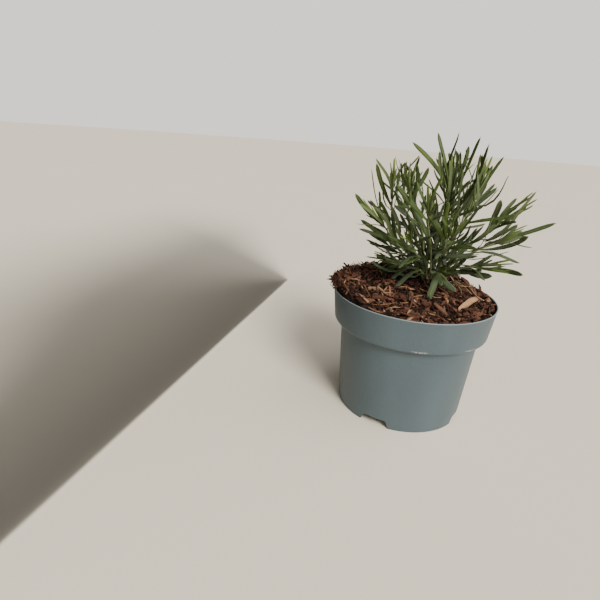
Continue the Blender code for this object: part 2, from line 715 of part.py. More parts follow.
def leaves_of(index, plans, obstacles):
    """The leaves that are clear of their neighbours; a leaf that isn't is moved a little, or left out."""
    made = []
    for number, plan in enumerate(plans):
        rng = random.Random(SEED + 1000 * index + number)
        tip, stray = plan[1], plan[-1]
        for attempt in range(LEAF_TRIES):
            loose = stray * attempt / LEAF_TRY_STEPS
            moved = tip + Vector([rng.uniform(-loose, loose) for _ in range(3)])
            if not within_bounds(moved, stray == PAIRED_STRAY):
                continue
            if obstacles.overlap(BVHTree.FromPolygons(*leaf_solid(plan, moved, 1.5 * GAP))):
                continue
            made.append(leaf_solid(plan, moved))
            break
    return made


def make_shoots(parts, cutters, planting, static):
    """All the shoots: first every stem, then the leaves, each shoot one solid."""
    green = finish("lavender_leaf", (0.13, 0.22, 0.09), 0.7)
    routes = [stem_route(foot, shoot[1]) for foot, shoot in zip(stem_feet(), SHOOTS)]
    stems = [make_stem(shoot[0], route, parts, planting, green) for shoot, route in zip(SHOOTS, routes)]
    stem_solids = [surface_of(stem) for stem in stems]
    grown = []
    for index, shoot in enumerate(SHOOTS):
        others = [solid for number, solid in enumerate(stem_solids) if number != index]
        plans = leaf_plans(index, shoot, routes[index])
        leaves = leaves_of(index, plans, tree_of(static + others + grown))
        grown.extend(leaves)
        for number, (points, faces) in enumerate(leaves):
            mesh = bpy.data.meshes.new(f"{shoot[0]}_leaf_{number + 1}")
            mesh.from_pydata(points, [], faces)
            leaf = mesh_object(mesh.name, mesh, cutters)
            leaf.hide_render = True
            leaf.display_type = "WIRE"
            leaf.parent = planting
            union = stems[index].modifiers.new(f"leaf_{number + 1}", "BOOLEAN")
            union.operation = "UNION"
            union.solver = "EXACT"
            union.object = leaf


def make_straw(parts, planting):
    """A dry stalk that lies over the mulch."""
    dry = finish("dry_straw", (0.45, 0.33, 0.18), 0.8)
    route = smooth_route([in_metres(point) for point in STRAW_POINTS], 8)
    return make_stem("dry_stalk", route, parts, planting, dry)


def main():
    """Build every piece."""
    parts, cutters = clear_scene()
    planting = bpy.data.objects.new("planting", None)
    planting.rotation_euler = (0.0, 0.0, PLANTING_TURN)
    parts.objects.link(planting)
    bpy.context.view_layer.update()
    pot = make_pot(parts, cutters)
    make_root_ball(parts, cutters, planting)
    bed = make_bed(parts, cutters, planting)
    crown = make_crown(parts, planting)
    chips = make_chips(parts, planting, bed)
    straw = make_straw(parts, planting)
    static = [surface_of(piece) for piece in (pot, bed, crown, straw)] + chips
    make_shoots(parts, cutters, planting, static)


main()
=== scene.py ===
import math
import random
from collections import namedtuple

import bmesh
import bpy
from mathutils import Matrix, Quaternion, Vector, noise
from mathutils.bvhtree import BVHTree


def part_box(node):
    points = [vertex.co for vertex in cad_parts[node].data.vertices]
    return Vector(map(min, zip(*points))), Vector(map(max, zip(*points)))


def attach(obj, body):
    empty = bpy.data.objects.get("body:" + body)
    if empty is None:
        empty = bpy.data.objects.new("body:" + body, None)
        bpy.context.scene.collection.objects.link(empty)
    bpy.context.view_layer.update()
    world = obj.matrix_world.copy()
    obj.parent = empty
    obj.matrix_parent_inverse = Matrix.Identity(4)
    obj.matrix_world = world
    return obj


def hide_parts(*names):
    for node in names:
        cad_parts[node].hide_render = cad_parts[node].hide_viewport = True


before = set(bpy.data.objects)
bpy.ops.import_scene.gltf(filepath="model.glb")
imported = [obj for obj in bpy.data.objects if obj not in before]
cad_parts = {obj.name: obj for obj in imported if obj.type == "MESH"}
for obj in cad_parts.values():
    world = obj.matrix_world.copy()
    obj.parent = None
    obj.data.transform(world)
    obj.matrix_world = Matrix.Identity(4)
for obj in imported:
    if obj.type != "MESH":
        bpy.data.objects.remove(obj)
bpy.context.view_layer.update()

bl_info = {
    "name": "Potted Lavender",
    "version": (1, 0, 0),
    "blender": (4, 5, 0),
    "location": "3D View > Sidebar > Lavender",
    "description": "Builds a young lavender plant in a nursery pot round its packed solids",
    "category": "Add Mesh",
}

MM = 0.001
UP = Vector((0.0, 0.0, 1.0))
MERGE = 0.00001
SEED = 41
GAP = 0.0003
POT_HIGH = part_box("pot")[1]
BED_LOW, BED_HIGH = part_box("mulch_bed")
CROWN_LOW, CROWN_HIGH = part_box("woody_crown")
PLANTING = Matrix.Rotation(math.radians(-29.0), 4, "Z")
UNPLANTING = PLANTING.inverted()
CROWN_PLACE = UNPLANTING @ Vector(((CROWN_LOW.x + CROWN_HIGH.x) / 2, (CROWN_LOW.y + CROWN_HIGH.y) / 2, 0.0))

Shoot = namedtuple("Shoot", "name guides pairs length width")
Bark = namedtuple("Bark", "length width cuts tone pale lift tilt")
LeafPlan = namedtuple("LeafPlan", "root tip heading width curl turn stray share")

# Each shoot, as in the solids: its guide points above the crown, its leaf pairs, and a leaf's length
# and width, all in mm.
SHOOTS = tuple(Shoot(*row) for row in (
    ("shoot_left_high", ((-14, 12, 170), (-33, 8, 202), (-37, 5, 233)), 7, 45, 4.3),
    ("shoot_left_inner", ((-6, 20, 178), (-22, 20, 207), (-28, 20, 238)), 7, 42, 3.9),
    ("shoot_middle_left", ((0, 8, 186), (-14, -3, 215), (-20, -5, 231)), 6, 42, 4.8),
    ("shoot_front_tall", ((9, -12, 180), (3, -30, 204), (2, -35, 214)), 7, 50, 5.0),
    ("shoot_centre_tall", ((19, 14, 182), (18, 10, 213), (15, 5, 247)), 8, 48, 5.0),
    ("shoot_centre_rear", ((25, 26, 190), (25, 28, 220), (22, 25, 248)), 8, 48, 4.6),
    ("shoot_right_high", ((30, 4, 192), (38, -3, 214), (43, 0, 239)), 7, 48, 4.8),
    ("shoot_right_middle", ((38, 8, 177), (56, 2, 196), (73, -4, 218)), 7, 45, 4.8),
    ("shoot_right_low", ((38, -8, 172), (53, -19, 186), (66, -25, 196)), 6, 41, 4.3),
    ("shoot_right_basal", ((30, 8, 156), (43, -3, 162), (58, -10, 168)), 4, 36, 4.0),
    ("shoot_left_middle", ((-8, 6, 163), (-28, -7, 182), (-41, -10, 198)), 7, 42, 4.8),
    ("shoot_left_basal", ((1, 6, 152), (-10, 2, 155), (-24, 0, 158)), 4, 36, 4.7),
    ("shoot_rear_centre", ((16, 32, 178), (17, 43, 204), (18, 46, 224)), 7, 45, 5.0),
    ("shoot_rear_left", ((4, 30, 172), (-9, 44, 196), (-15, 50, 221)), 7, 45, 4.6),
    ("shoot_rear_right", ((27, 30, 172), (38, 44, 198), (45, 50, 226)), 7, 48, 4.8),
    ("shoot_front_left", ((6, 2, 162), (-4, -20, 174), (-9, -33, 186)), 6, 42, 4.8),
    ("shoot_front_right", ((20, 0, 165), (23, -24, 182), (25, -38, 197)), 7, 45, 4.8),
    ("shoot_rear_low", ((16, 40, 160), (14, 58, 174), (11, 66, 190)), 7, 38, 4.5),
    ("shoot_rear_left_low", ((0, 30, 152), (-22, 40, 158), (-38, 44, 166)), 5, 36, 4.3),
    ("shoot_front_basal", ((16, 6, 155), (17, -4, 157), (20, -16, 160)), 4, 30, 4.6),
))

# The longest leaves of some shoots: place along the stem, tip and width in mm, curl and turn in degrees.
LONG_LEAVES = {
    "shoot_left_high": (
        (0.84, (-53, 5, 260), 3.7, 32, -46),
        (0.78, (-57, 10, 252), 5.4, -15, -65),
        (0.50, (-64, -5, 245), 3.6, -30, -46),
    ),
    "shoot_left_inner": (
        (0.80, (-16, 25, 262), 3.6, -28, 46),
        (0.92, (-31, 20, 256), 3.6, 10, -46),
        (0.88, (-23, 15, 253), 3.6, -15, 46),
    ),
    "shoot_middle_left": (
        (0.80, (-7, -10, 254), 4.6, 12, 60),
        (0.90, (-14, 0, 255), 4.1, -10, 46),
    ),
    "shoot_front_tall": (
        (0.80, (-29, -45, 238), 5.4, 20, -60),
        (0.92, (2, -35, 241), 4.4, 8, -70),
    ),
    "shoot_centre_tall": (
        (0.86, (-20, -5, 277), 5.2, 18, -70),
        (0.96, (-1, 5, 286.5), 3.6, 30, -46),
        (0.90, (11, 0, 286), 5.0, 10, -80),
        (0.60, (48, -10, 276), 5.0, -8, 70),
    ),
    "shoot_centre_rear": (
        (0.90, (29, 25, 276), 4.9, 18, 46),
        (0.84, (39, 25, 284), 3.6, -12, 46),
    ),
    "shoot_right_high": (
        (0.72, (17, 20, 268), 3.7, -20, -46),
        (0.94, (44, 5, 269), 4.3, 8, 46),
        (0.84, (60, 10, 268), 3.6, -20, 46),
        (0.70, (43, -20, 254), 5.8, -10, 80),
        (0.80, (69, -20, 251), 5.2, -45, 60),
    ),
    "shoot_right_middle": (
        (0.72, (62, -16, 236), 5.8, 25, 70),
        (0.86, (85, -5, 237), 5.2, -12, 60),
        (0.90, (91, -15, 241), 3.6, -15, 46),
        (0.58, (83, -22, 223), 4.9, -32, 46),
    ),
    "shoot_right_low": (
        (0.90, (109, -24, 218), 4.5, -22, 38),
        (0.66, (92, -32, 205), 4.9, -55, 38),
    ),
    "shoot_right_basal": (
        (0.86, (98, -19, 168), 4.1, -55, 38),
        (0.60, (71, 0, 155), 4.9, -32, 38),
        (0.34, (60, -14, 163), 5.9, -10, 38),
    ),
    "shoot_left_middle": (
        (0.92, (-72, -10, 223), 5.4, -18, -60),
        (0.70, (-63, 0, 197), 4.9, -18, -46),
        (0.52, (-63, -15, 192), 4.3, -28, -46),
    ),
    "shoot_left_basal": (
        (0.90, (-40, 12, 141), 5.5, 20, -38),
        (0.60, (-27, -2, 143), 5.5, 25, -38),
        (0.30, (-21, -14, 139), 5.5, 20, -38),
    ),
    "shoot_front_right": (
        (0.84, (14, -40, 227), 3.9, 15, -46),
    ),
    "shoot_rear_left_low": (
        (0.86, (-62, 50, 163), 4.1, -15, -38),
        (0.70, (-44, 56, 160), 4.5, -12, -38),
        (0.60, (-49, 50, 141), 5.3, 22, -38),
        (0.50, (-46, 32, 141), 5.5, 18, -38),
    ),
    "shoot_front_basal": (
        (0.90, (16, -34, 133), 5.4, 50, 10),
        (0.70, (38, -20, 141), 5.2, 32, 10),
    ),
}

# How the leaves stand in pairs up a stem, as in the solids: shares of the stem and angles in degrees.
LEAF_STATIONS = (0.0, 0.34, 0.66, 0.89)
LEAF_PAIRS_FROM = 0.14
LEAF_PAIRS_TO = 0.97
LEAF_PAIR_TURN = math.radians(97.0)
LEAF_SPLAY = (42.0, 58.0)
LEAF_SPLAY_LOSS = 34.0
LEAF_PAIR_CROWDING = 0.8
LEAF_CURL = (12.0, 48.0)
LEAF_TURN = 50.0
LEAF_REACH = (0.74, 1.12)
LEAF_REACH_LOSS = 0.25
LEAF_WIDTHS = (0.8, 1.1)
LEAF_TRIES = 22
LEAF_TRY_STEPS = 12
LEAF_ROOT_OUT = 0.00032
PAIRED_STRAY = 0.010
LONG_STRAY = 0.004
FOLIAGE_HALF = 0.0840
FOLIAGE_TOP = 0.28651
DOME_TOP = 0.276
DOME_FALL = 8.0

# Where the stems stand on the crown, and what only the finished plant has.
UPRIGHT_REACH = 0.0130
UPRIGHT_RADIUS = 0.0034
LEANING_RADIUS = 0.0096
LEANING_DROP = 0.0065
LEANING_STEP = 0.0030
STEM_FOOT = 0.0012
STEM_LOSS = 0.0005
STEM_DEPTH = 0.005
STEM_POINTS = 9
FINE_STEM_POINTS = 26
UNDERSIDE = 1.1
YOUNG_LEAF_LOSS = 0.22
BASAL_WIDTH = 1.35
KNOT_SCALE = Vector((260.0, 260.0, 110.0))
KNOT_HEIGHT = 0.0011
SPIRAL = 2.4
BASE_LEAVES = 4
APEX_LEAVES = 7
AXIL_BARE = 0.55
AXIL_BARE_GAIN = 0.30

# The pot's lesser measures.
POT_STEPS = 144
POT_FLOOR = 0.0105
FLOOR_CHAMFER = (0.0030, 0.0012)
CORNER = 0.0006
SHELF_CHAMFER = (0.0008, 0.0010)
BAND_CHAMFER = (0.0030, 0.0008, 0.0040)
LIP_SHARE = 0.62
LIP_DROP = 0.0030
BAND_TOP_IN = 0.0004
BAND_TOP_DROP = 0.0022
BAND_ROUNDING = 0.0035
BAND_SPANS = 6
BODY_FILLET = 0.0014
BODY_SPANS = 8
FOOT_CHAMFER = 0.0004
FOOT_RING = 1.4
NOTCH_HEADINGS = [math.radians(45.0 + 90.0 * number) for number in range(4)]
NOTCH_IN = 0.0015
NOTCH_DEPTH = 0.012
NOTCH_CORNER = 0.0016
DRAIN_HEADINGS = [math.radians(22.5 + 45.0 * number) for number in range(8)]
DRAIN_PLACE = (0.040, 0.0, 0.011)
DRAIN_RADIUS = 0.005
DRAIN_DEPTH = 0.006
# Heights of the painted highlight along the rim's top.
RIM_HIGHLIGHT_BAND = (0.0009, 0.0002)
SCUFF_BEARINGS = (math.radians(-108.8), math.radians(-70.6))
SCUFF_REACH = (0.0797, 0.0800)

# How the mulch lies.
MULCH_REACH = POT_HIGH.x - 0.0032
INNER_WALL = POT_HIGH.x - 0.0019
WALL_CLEARANCE = 0.0006
STEM_CLEARANCE = 0.009
BANK_EDGE = POT_HIGH.x - 0.0035
BANK_FOOT = POT_HIGH.x - 0.0030
BANK_LEAST = 0.0015
BANK_FULL = 0.006
BANK_HEADING = math.radians(118.0)
BANK_REACH = (0.50, 0.75)
SLIVER_LIFT = 0.0036
HAIR_LIFT = 0.0022
BED_ROUGHNESS = 0.0011
BED_SINK = 0.0009

# The dark card at the left: its middle, and its height and length.
CARD_PLACE = (-0.24, -0.05, 0.28)
CARD_SIZE = (0.55, 0.80)

# Colours that only the finishes use.
POT_DUST = (0.27, 0.29, 0.28)
POT_SCUFF = (0.52, 0.53, 0.50)
# Colour of the painted highlight along the rim's top.
POT_RIM_HIGHLIGHT = (0.36, 0.42, 0.43)
PEAT_DARK = (0.018, 0.011, 0.007)
PEAT_BROWN = (0.085, 0.052, 0.030)
PEAT_ROOTS = (0.52, 0.42, 0.28)
WOOD_DARK = (0.045, 0.032, 0.020)
WOOD_PALE = (0.24, 0.19, 0.12)
LEAF_FOOT = (0.23, 0.30, 0.10)
LEAF_RIB = (0.20, 0.26, 0.09)
LEAF_UNDER = (0.13, 0.16, 0.085)
LEAF_DOWN = (0.30, 0.34, 0.22)
LEAF_TIP = (0.16, 0.12, 0.06)
STEM_WOODY = (0.115, 0.078, 0.042)
STEM_GREEN = (0.165, 0.215, 0.075)
STEM_STREAK = (0.24, 0.27, 0.13)
STRAW_DARK = (0.22, 0.13, 0.06)
STRAW_PALE = (0.52, 0.37, 0.20)
SKY_COLOR = (1.0, 0.975, 0.945, 1.0)
BACKDROP_COLOR = (1.0, 0.955, 0.885, 1.0)
SUN_COLOR = (1.0, 0.95, 0.87)
FILL_COLOR = (1.0, 0.98, 0.95)

# How one splinter of bark varies; bow, skew and kink are shares of its length or width.
SPLINTER_SPREAD = 0.35
SPLINTER_LONGEST = 1.9
SPLINTER_THICKNESS = (0.35, 0.65)
SPLINTER_BOW = 0.10
SPLINTER_TWIST = 0.6
SPLINTER_SKEW = 0.4
SPLINTER_KINK = 0.10
SPLINTER_TAPER = 1.6

# Kinds of bark: length and width in mm, cuts along the length, middle tone, share of pale ones,
# lift in mm and tilt.
BARK_KINDS = {
    "crumb": Bark(3.4, (1.0, 2.4), 1, 0.16, 0.00, 1.2, 0.70),
    "fibre": Bark(9.0, (0.4, 0.9), 3, 0.36, 0.05, 3.4, 0.42),
    "shred": Bark(10.0, (1.2, 2.8), 3, 0.46, 0.08, 3.6, 0.36),
    "chip": Bark(9.0, (2.8, 4.8), 3, 0.55, 0.05, 2.6, 0.30),
    "sliver": Bark(13.0, (1.2, 2.6), 3, 0.80, 1.00, 3.8, 0.20),
    "hair": Bark(9.0, (0.25, 0.45), 3, 0.60, 0.00, 0.0, 0.0),
}
TAN_CHIPS = {"bark_chip_large_tan": 1.0, "bark_chip_orange": 0.8, "bark_chip_front": 0.15}
CHIP_EDGE = 0.00022
WEDGE_CHIP = "bark_chip_large_tan"
WEDGE_HEADING = Vector((0.5, 0.87, 0.0))
WEDGE_POINT = 0.14
WEDGE_SPREAD = 0.52

# Pale slivers on top of the litter: place in mm, heading in degrees, length and width in mm.
SLIVERS = (
    (-14, -60, 20, 17, 2.2),
    (-1, -63, 75, 14, 1.8),
    (19, -56, -25, 13, 1.6),
    (2, -42, -40, 15, 2.4),
    (-6, -47, 10, 12, 1.4),
    (-46, -62, -55, 17, 2.0),
    (-24, -38, 25, 12, 1.5),
    (36, -60, 35, 12, 1.4),
)

# The dry stalk, and the thin ones beside it: guide points in mm.
STRAW_POINTS = ((38, 17, 141.5), (45, 8, 140.5), (54, 14, 139), (60, 26, 138.5))
THIN_STALKS = (
    ((34, 25, 139), (40, 13, 141), (47, 1, 137)),
    ((49, 29, 138), (55, 9, 139), (62, -3, 135), (70, 2, 130)),
    ((30, 16, 140), (45, 20, 139.5), (58, 8, 133)),
)
STALK_RADIUS = 0.00062
THIN_STALK_RADIUS = 0.00042
STALK_STRAY = (0.85, 1.15)


# ---------------------------------------------------------------------------------------- settings

class PotSettings(bpy.types.PropertyGroup):
    """The nursery pot."""

    wall: bpy.props.FloatProperty(
        name="Wall", description="Thickness of the pot's wall", default=0.0012, unit="LENGTH", precision=4)
    band_height: bpy.props.FloatProperty(
        name="Band height", description="Height of the rim band", default=0.0341,
        unit="LENGTH", precision=4)
    band_foot_radius: bpy.props.FloatProperty(
        name="Band foot radius", description="Radius at the band's lower edge", default=0.0802,
        unit="LENGTH", precision=4)
    body_top_radius: bpy.props.FloatProperty(
        name="Body top radius", description="Radius of the body below the band", default=0.0723,
        unit="LENGTH", precision=4)
    foot_radius: bpy.props.FloatProperty(
        name="Foot radius", description="Radius of the foot ring", default=0.0664,
        unit="LENGTH", precision=4)
    notch_width: bpy.props.FloatProperty(
        name="Notch width", description="Width of a drain notch at the foot", default=0.0315,
        unit="LENGTH", precision=4)
    notch_top: bpy.props.FloatProperty(
        name="Notch top", description="Width of a drain notch at its top", default=0.0235,
        unit="LENGTH", precision=4)
    notch_height: bpy.props.FloatProperty(
        name="Notch height", description="Height of a drain notch", default=0.0085,
        unit="LENGTH", precision=4)
    color: bpy.props.FloatVectorProperty(
        name="Plastic", description="Colour of the plastic", subtype="COLOR", size=3,
        default=(0.073, 0.106, 0.123), min=0.0, max=1.0)


class MulchSettings(bpy.types.PropertyGroup):
    """The bark mulch."""

    cover: bpy.props.FloatProperty(
        name="Cover", description="How thickly the bark lies, as a share of the full count",
        default=1.0, min=0.0)
    overhang: bpy.props.FloatProperty(
        name="Overhang", description="How far bark spills over the rim", default=0.0050,
        unit="LENGTH", precision=4)
    # The darkest bark; the ground under the shreds takes it nearly unmixed, as painted shade in the gaps.
    dark: bpy.props.FloatVectorProperty(
        name="Dark bark", description="Colour of the darkest bark", subtype="COLOR", size=3,
        default=(0.009, 0.005, 0.003), min=0.0, max=1.0)
    red: bpy.props.FloatVectorProperty(
        name="Red bark", description="Colour of the red-brown bark", subtype="COLOR", size=3,
        default=(0.158, 0.062, 0.036), min=0.0, max=1.0)
    grey: bpy.props.FloatVectorProperty(
        name="Grey bark", description="Colour of weathered bark", subtype="COLOR", size=3,
        default=(0.150, 0.105, 0.080), min=0.0, max=1.0)
    tan: bpy.props.FloatVectorProperty(
        name="Tan wood", description="Colour of split tan wood", subtype="COLOR", size=3,
        default=(0.40, 0.235, 0.13), min=0.0, max=1.0)


class PlantSettings(bpy.types.PropertyGroup):
    """The lavender plant."""

    stem_radius: bpy.props.FloatProperty(
        name="Stem radius", description="Radius of a stem at its foot", default=0.0012,
        unit="LENGTH", precision=4)
    slimness: bpy.props.FloatProperty(
        name="Slimness", description="Leaf width as a share of its solid's", default=0.90, min=0.3, max=1.0)
    leaf_share: bpy.props.FloatProperty(
        name="Leaf thickness", description="A leaf's thickness as a share of its width", default=0.10,
        min=0.02, max=0.5)
    axil_leaves: bpy.props.IntProperty(
        name="Axil leaves", description="Slender leaves in each leaf's axil", default=1, min=0)
    young: bpy.props.FloatVectorProperty(
        name="Young leaf", description="Colour of the newest leaves", subtype="COLOR", size=3,
        default=(0.120, 0.180, 0.022), min=0.0, max=1.0)
    grown: bpy.props.FloatVectorProperty(
        name="Grown leaf", description="Colour of grown leaves", subtype="COLOR", size=3,
        default=(0.034, 0.063, 0.008), min=0.0, max=1.0)
    old: bpy.props.FloatVectorProperty(
        name="Old leaf", description="Colour of the oldest, greyest leaves", subtype="COLOR", size=3,
        default=(0.058, 0.082, 0.048), min=0.0, max=1.0)


class StageSettings(bpy.types.PropertyGroup):
    """The floor, the lights and the camera."""

    lens: bpy.props.FloatProperty(
        name="Lens", description="Focal length on a 36 mm sensor", default=27.334, unit="CAMERA")
    distance: bpy.props.FloatProperty(
        name="Distance", description="Level distance from the pot's axis to the camera", default=0.4716,
        unit="LENGTH", precision=4)
    height: bpy.props.FloatProperty(
        name="Height", description="Height of the camera above the floor", default=0.2794,
        unit="LENGTH", precision=4)
    pitch: bpy.props.FloatProperty(
        name="Pitch", description="How far the camera looks down", default=math.radians(20.40),
        subtype="ANGLE")
    pan: bpy.props.FloatProperty(
        name="Pan", description="How far the camera looks past the pot's left side",
        default=math.radians(14.616), subtype="ANGLE")
    roll: bpy.props.FloatProperty(
        name="Roll", description="The camera's roll", default=math.radians(4.350), subtype="ANGLE")
    sky: bpy.props.FloatProperty(
        name="Sky", description="Strength of the sky's light", default=0.20, min=0.0)
    backdrop: bpy.props.FloatProperty(
        name="Backdrop", description="Brightness of the sky as the camera sees it", default=1.25, min=0.0)
    fill: bpy.props.FloatProperty(
        name="Fill", description="Strength of the wide light at the right", default=2.5, min=0.0)
    key: bpy.props.FloatProperty(name="Key", description="Strength of the soft sun", default=3.8, min=0.0)
    floor_color: bpy.props.FloatVectorProperty(
        name="Floor", description="Colour of the floor", subtype="COLOR", size=3,
        default=(0.89, 0.82, 0.68), min=0.0, max=1.0)


# --------------------------------------------------------------------------------------- materials

def socket_of(value):
    """The socket behind a wrapped value, or the value itself."""
    return value.socket if isinstance(value, Value) else value


class Value:
    """A number that varies over a surface; an expression on it adds Math nodes."""

    def __init__(self, finish, socket):
        self.finish = finish
        self.socket = socket

    def math(self, operation, *others, clamp=False):
        """One Math node with this value first."""
        settings = {"operation": operation, "use_clamp": clamp}
        inputs = {number: value for number, value in enumerate((self, *others))}
        return Value(self.finish, self.finish.node("ShaderNodeMath", settings, inputs).outputs[0])

    def __add__(self, other):
        return self.math("ADD", other)

    __radd__ = __add__

    def __mul__(self, other):
        return self.math("MULTIPLY", other)

    __rmul__ = __mul__

    def __sub__(self, other):
        return self.math("SUBTRACT", other)

    def __rsub__(self, other):
        return (self * -1.0) + other

    def __pow__(self, other):
        return self.math("POWER", other)

    def clamped(self):
        """The value held between 0 and 1."""
        return self.math("ADD", 0.0, clamp=True)

    def size(self):
        """The value without its sign."""
        return self.math("ABSOLUTE")

    def rise(self, low, high):
        """0 below low, 1 above high, smooth between."""
        node = self.finish.node(
            "ShaderNodeMapRange", {"interpolation_type": "SMOOTHSTEP"},
            {"Value": self, "From Min": low, "From Max": high, "To Min": 0.0, "To Max": 1.0})
        return Value(self.finish, node.outputs["Result"])


class Finish:
    """A Principled material that is put together from expressions."""

    def __init__(self, name, roughness=0.6, **fixed):
        self.material = bpy.data.materials.new(name)
        self.material.use_nodes = True
        self.tree = self.material.node_tree
        self.shader = self.tree.nodes["Principled BSDF"]
        self.shader.inputs["Roughness"].default_value = roughness
        for socket, value in fixed.items():
            self.shader.inputs[socket.replace("_", " ")].default_value = value

    def node(self, kind, settings=None, inputs=None):
        """A node of any type: its settings first, then the values or links of its sockets."""
        made = self.tree.nodes.new(kind)
        for name, value in (settings or {}).items():
            setattr(made, name, value)
        for name, value in (inputs or {}).items():
            found = socket_of(value)
            if isinstance(found, bpy.types.NodeSocket):
                self.tree.links.new(found, made.inputs[name])
            elif isinstance(found, (tuple, list)) and made.inputs[name].type == "RGBA":
                made.inputs[name].default_value = (*found[:3], 1.0)
            else:
                made.inputs[name].default_value = found
        return made

    def place(self, scale=(1.0, 1.0, 1.0)):
        """Object coordinates, scaled."""
        coordinates = self.node("ShaderNodeTexCoord").outputs["Object"]
        return self.node("ShaderNodeMapping", None, {"Vector": coordinates, "Scale": scale}).outputs[0]

    def axis(self, number):
        """One Object coordinate in metres."""
        split = self.node("ShaderNodeSeparateXYZ", None, {0: self.place()})
        return Value(self, split.outputs[number])

    def attribute(self, name):
        """A number that the piece carries at each point."""
        return Value(self, self.node("ShaderNodeAttribute", {"attribute_name": name}).outputs["Fac"])

    def uv(self, name):
        """The two coordinates of a UV map."""
        split = self.node(
            "ShaderNodeSeparateXYZ", None, {0: self.node("ShaderNodeUVMap", {"uv_map": name}).outputs[0]})
        return Value(self, split.outputs[0]), Value(self, split.outputs[1])

    def along(self, name, scale):
        """A piece's own coordinates, scaled."""
        vector = self.node("ShaderNodeAttribute", {"attribute_name": name}).outputs["Vector"]
        scaled = self.node("ShaderNodeVectorMath", {"operation": "MULTIPLY"}, {0: vector, 1: scale})
        return scaled.outputs[0]

    def noise(self, scale, detail=4.0, roughness=0.55, stretch=(1.0, 1.0, 1.0), along=None):
        """Noise from 0 to 1 with a middle of 0.5."""
        vector = self.place(stretch) if along is None else along
        node = self.node(
            "ShaderNodeTexNoise", None,
            {"Vector": vector, "Scale": scale, "Detail": detail, "Roughness": roughness})
        return Value(self, node.outputs["Fac"])

    def mix(self, factor, first, second):
        """A colour between two colours."""
        node = self.node("ShaderNodeMix", {"data_type": "RGBA"}, {0: factor, 6: first, 7: second})
        return node.outputs[2]

    def surface(self, color=None, roughness=None, height=None, relief=0.001, strength=1.0):
        """Link what varies over the surface, and return the material."""
        if color is not None:
            self.tree.links.new(socket_of(color), self.shader.inputs["Base Color"])
        if roughness is not None:
            self.tree.links.new(socket_of(roughness), self.shader.inputs["Roughness"])
        if height is not None:
            bump = self.node(
                "ShaderNodeBump", None, {"Strength": strength, "Distance": relief, "Height": height})
            self.tree.links.new(bump.outputs[0], self.shader.inputs["Normal"])
        return self.material


def pot_plastic(pot):
    """Satin blue-grey plastic with a speckle, faint streaks, a pale painted highlight on the rim's top and
    scuffed band edge.
    """
    finish = Finish("pot_plastic", 0.45, IOR=1.48, Specular_IOR_Level=0.42)
    speckle = finish.noise(900.0, 3.0, 0.7)
    cloud = finish.noise(26.0, 3.0, 0.5, (1.0, 1.0, 0.35))
    height = finish.axis(2)
    # The pale band on the rim's top is a painted highlight, not wear.
    rim = height.rise(POT_HIGH.z - RIM_HIGHLIGHT_BAND[0], POT_HIGH.z - RIM_HIGHLIGHT_BAND[1])
    band_low = POT_HIGH.z - pot.band_height
    above_edge = height.rise(band_low + 0.0020, band_low + 0.0042)
    edge = height.rise(band_low, band_low + 0.0016) * (1.0 - above_edge)
    marks = 0.0
    for bearing in SCUFF_BEARINGS:
        facing = finish.axis(0) * math.cos(bearing) + finish.axis(1) * math.sin(bearing)
        marks = facing.rise(*SCUFF_REACH) + marks
    scuff = edge * marks * finish.noise(650.0, 2.0, 0.6).rise(0.40, 0.54)
    dust = finish.noise(300.0, 5.0, 0.7).rise(0.60, 0.80) * 0.35
    base = Vector(pot.color)
    color = finish.mix((cloud - 0.5) * 0.9 + speckle * 1.3 - 0.3, tuple(base * 0.80), tuple(base * 1.24))
    color = finish.mix(dust * 0.5, color, POT_DUST)
    color = finish.mix(scuff * 0.8, color, POT_SCUFF)
    # Mix the painted rim highlight into the colour.
    color = finish.mix(rim * 0.55, color, POT_RIM_HIGHLIGHT)
    roughness = 0.36 + cloud * 0.16 + speckle * 0.08 + scuff * 0.2
    grain = finish.noise(1600.0, 2.0, 0.5) * 0.25 + finish.noise(120.0, 2.0, 0.4) * 0.75
    return finish.surface(color, roughness, grain, 0.00035, 0.35)


def peat():
    """Dark peat with fine pale roots."""
    finish = Finish("root_ball_peat", 0.95)
    crumbs = finish.noise(420.0, 6.0, 0.7)
    strand = (finish.noise(95.0, 2.0, 0.5) - 0.5).size()
    crossing = (finish.noise(130.0, 2.0, 0.5, (1.0, 1.0, 0.5)) - 0.5).size()
    roots = ((1.0 - strand.rise(0.004, 0.012)) + (1.0 - crossing.rise(0.003, 0.009))).clamped()
    color = finish.mix(crumbs.rise(0.3, 0.75), PEAT_DARK, PEAT_BROWN)
    color = finish.mix(roots * 0.75, color, PEAT_ROOTS)
    return finish.surface(color, None, crumbs * 0.8 + roots * 0.6, 0.0012, 0.8)


def bark(mulch, name, ground=False):
    """Fibrous bark from dark to red-brown, grey and tan; each shred carries its tones and its grain."""
    finish = Finish(name, 0.9, Specular_IOR_Level=0.22)
    patch = finish.noise(260.0, 3.0, 0.6)
    # The ground seen in the gaps between the shreds is near-black: painted shade in the gaps.
    if ground:
        color = finish.mix(patch.rise(0.35, 0.85) * 0.30, tuple(mulch.dark), tuple(mulch.red))
        return finish.surface(color, None, patch, 0.0008, 0.8)
    fibre = finish.noise(1.0, 3.0, 0.6, along=finish.along("grain", (130.0, 1700.0, 90.0)))
    band = finish.noise(1.0, 2.0, 0.5, along=finish.along("grain", (60.0, 420.0, 90.0)))
    tone = finish.attribute("shred_tone")
    pale = finish.attribute("shred_pale")
    shade = (tone ** 1.5 * 1.15 + (fibre - 0.5) * 1.0 + (patch - 0.5) * 1.0 - 0.04).clamped()
    color = finish.mix(shade, tuple(mulch.dark), tuple(mulch.red))
    color = finish.mix(band.rise(0.50, 0.72) * tone * 0.75, color, tuple(mulch.grey))
    color = finish.mix((pale * (0.55 + fibre.rise(0.30, 0.60) * 0.55)).clamped(), color, tuple(mulch.tan))
    return finish.surface(color, 0.74 + fibre * 0.22, fibre * 0.8 + band * 0.4, 0.0006, 0.9)


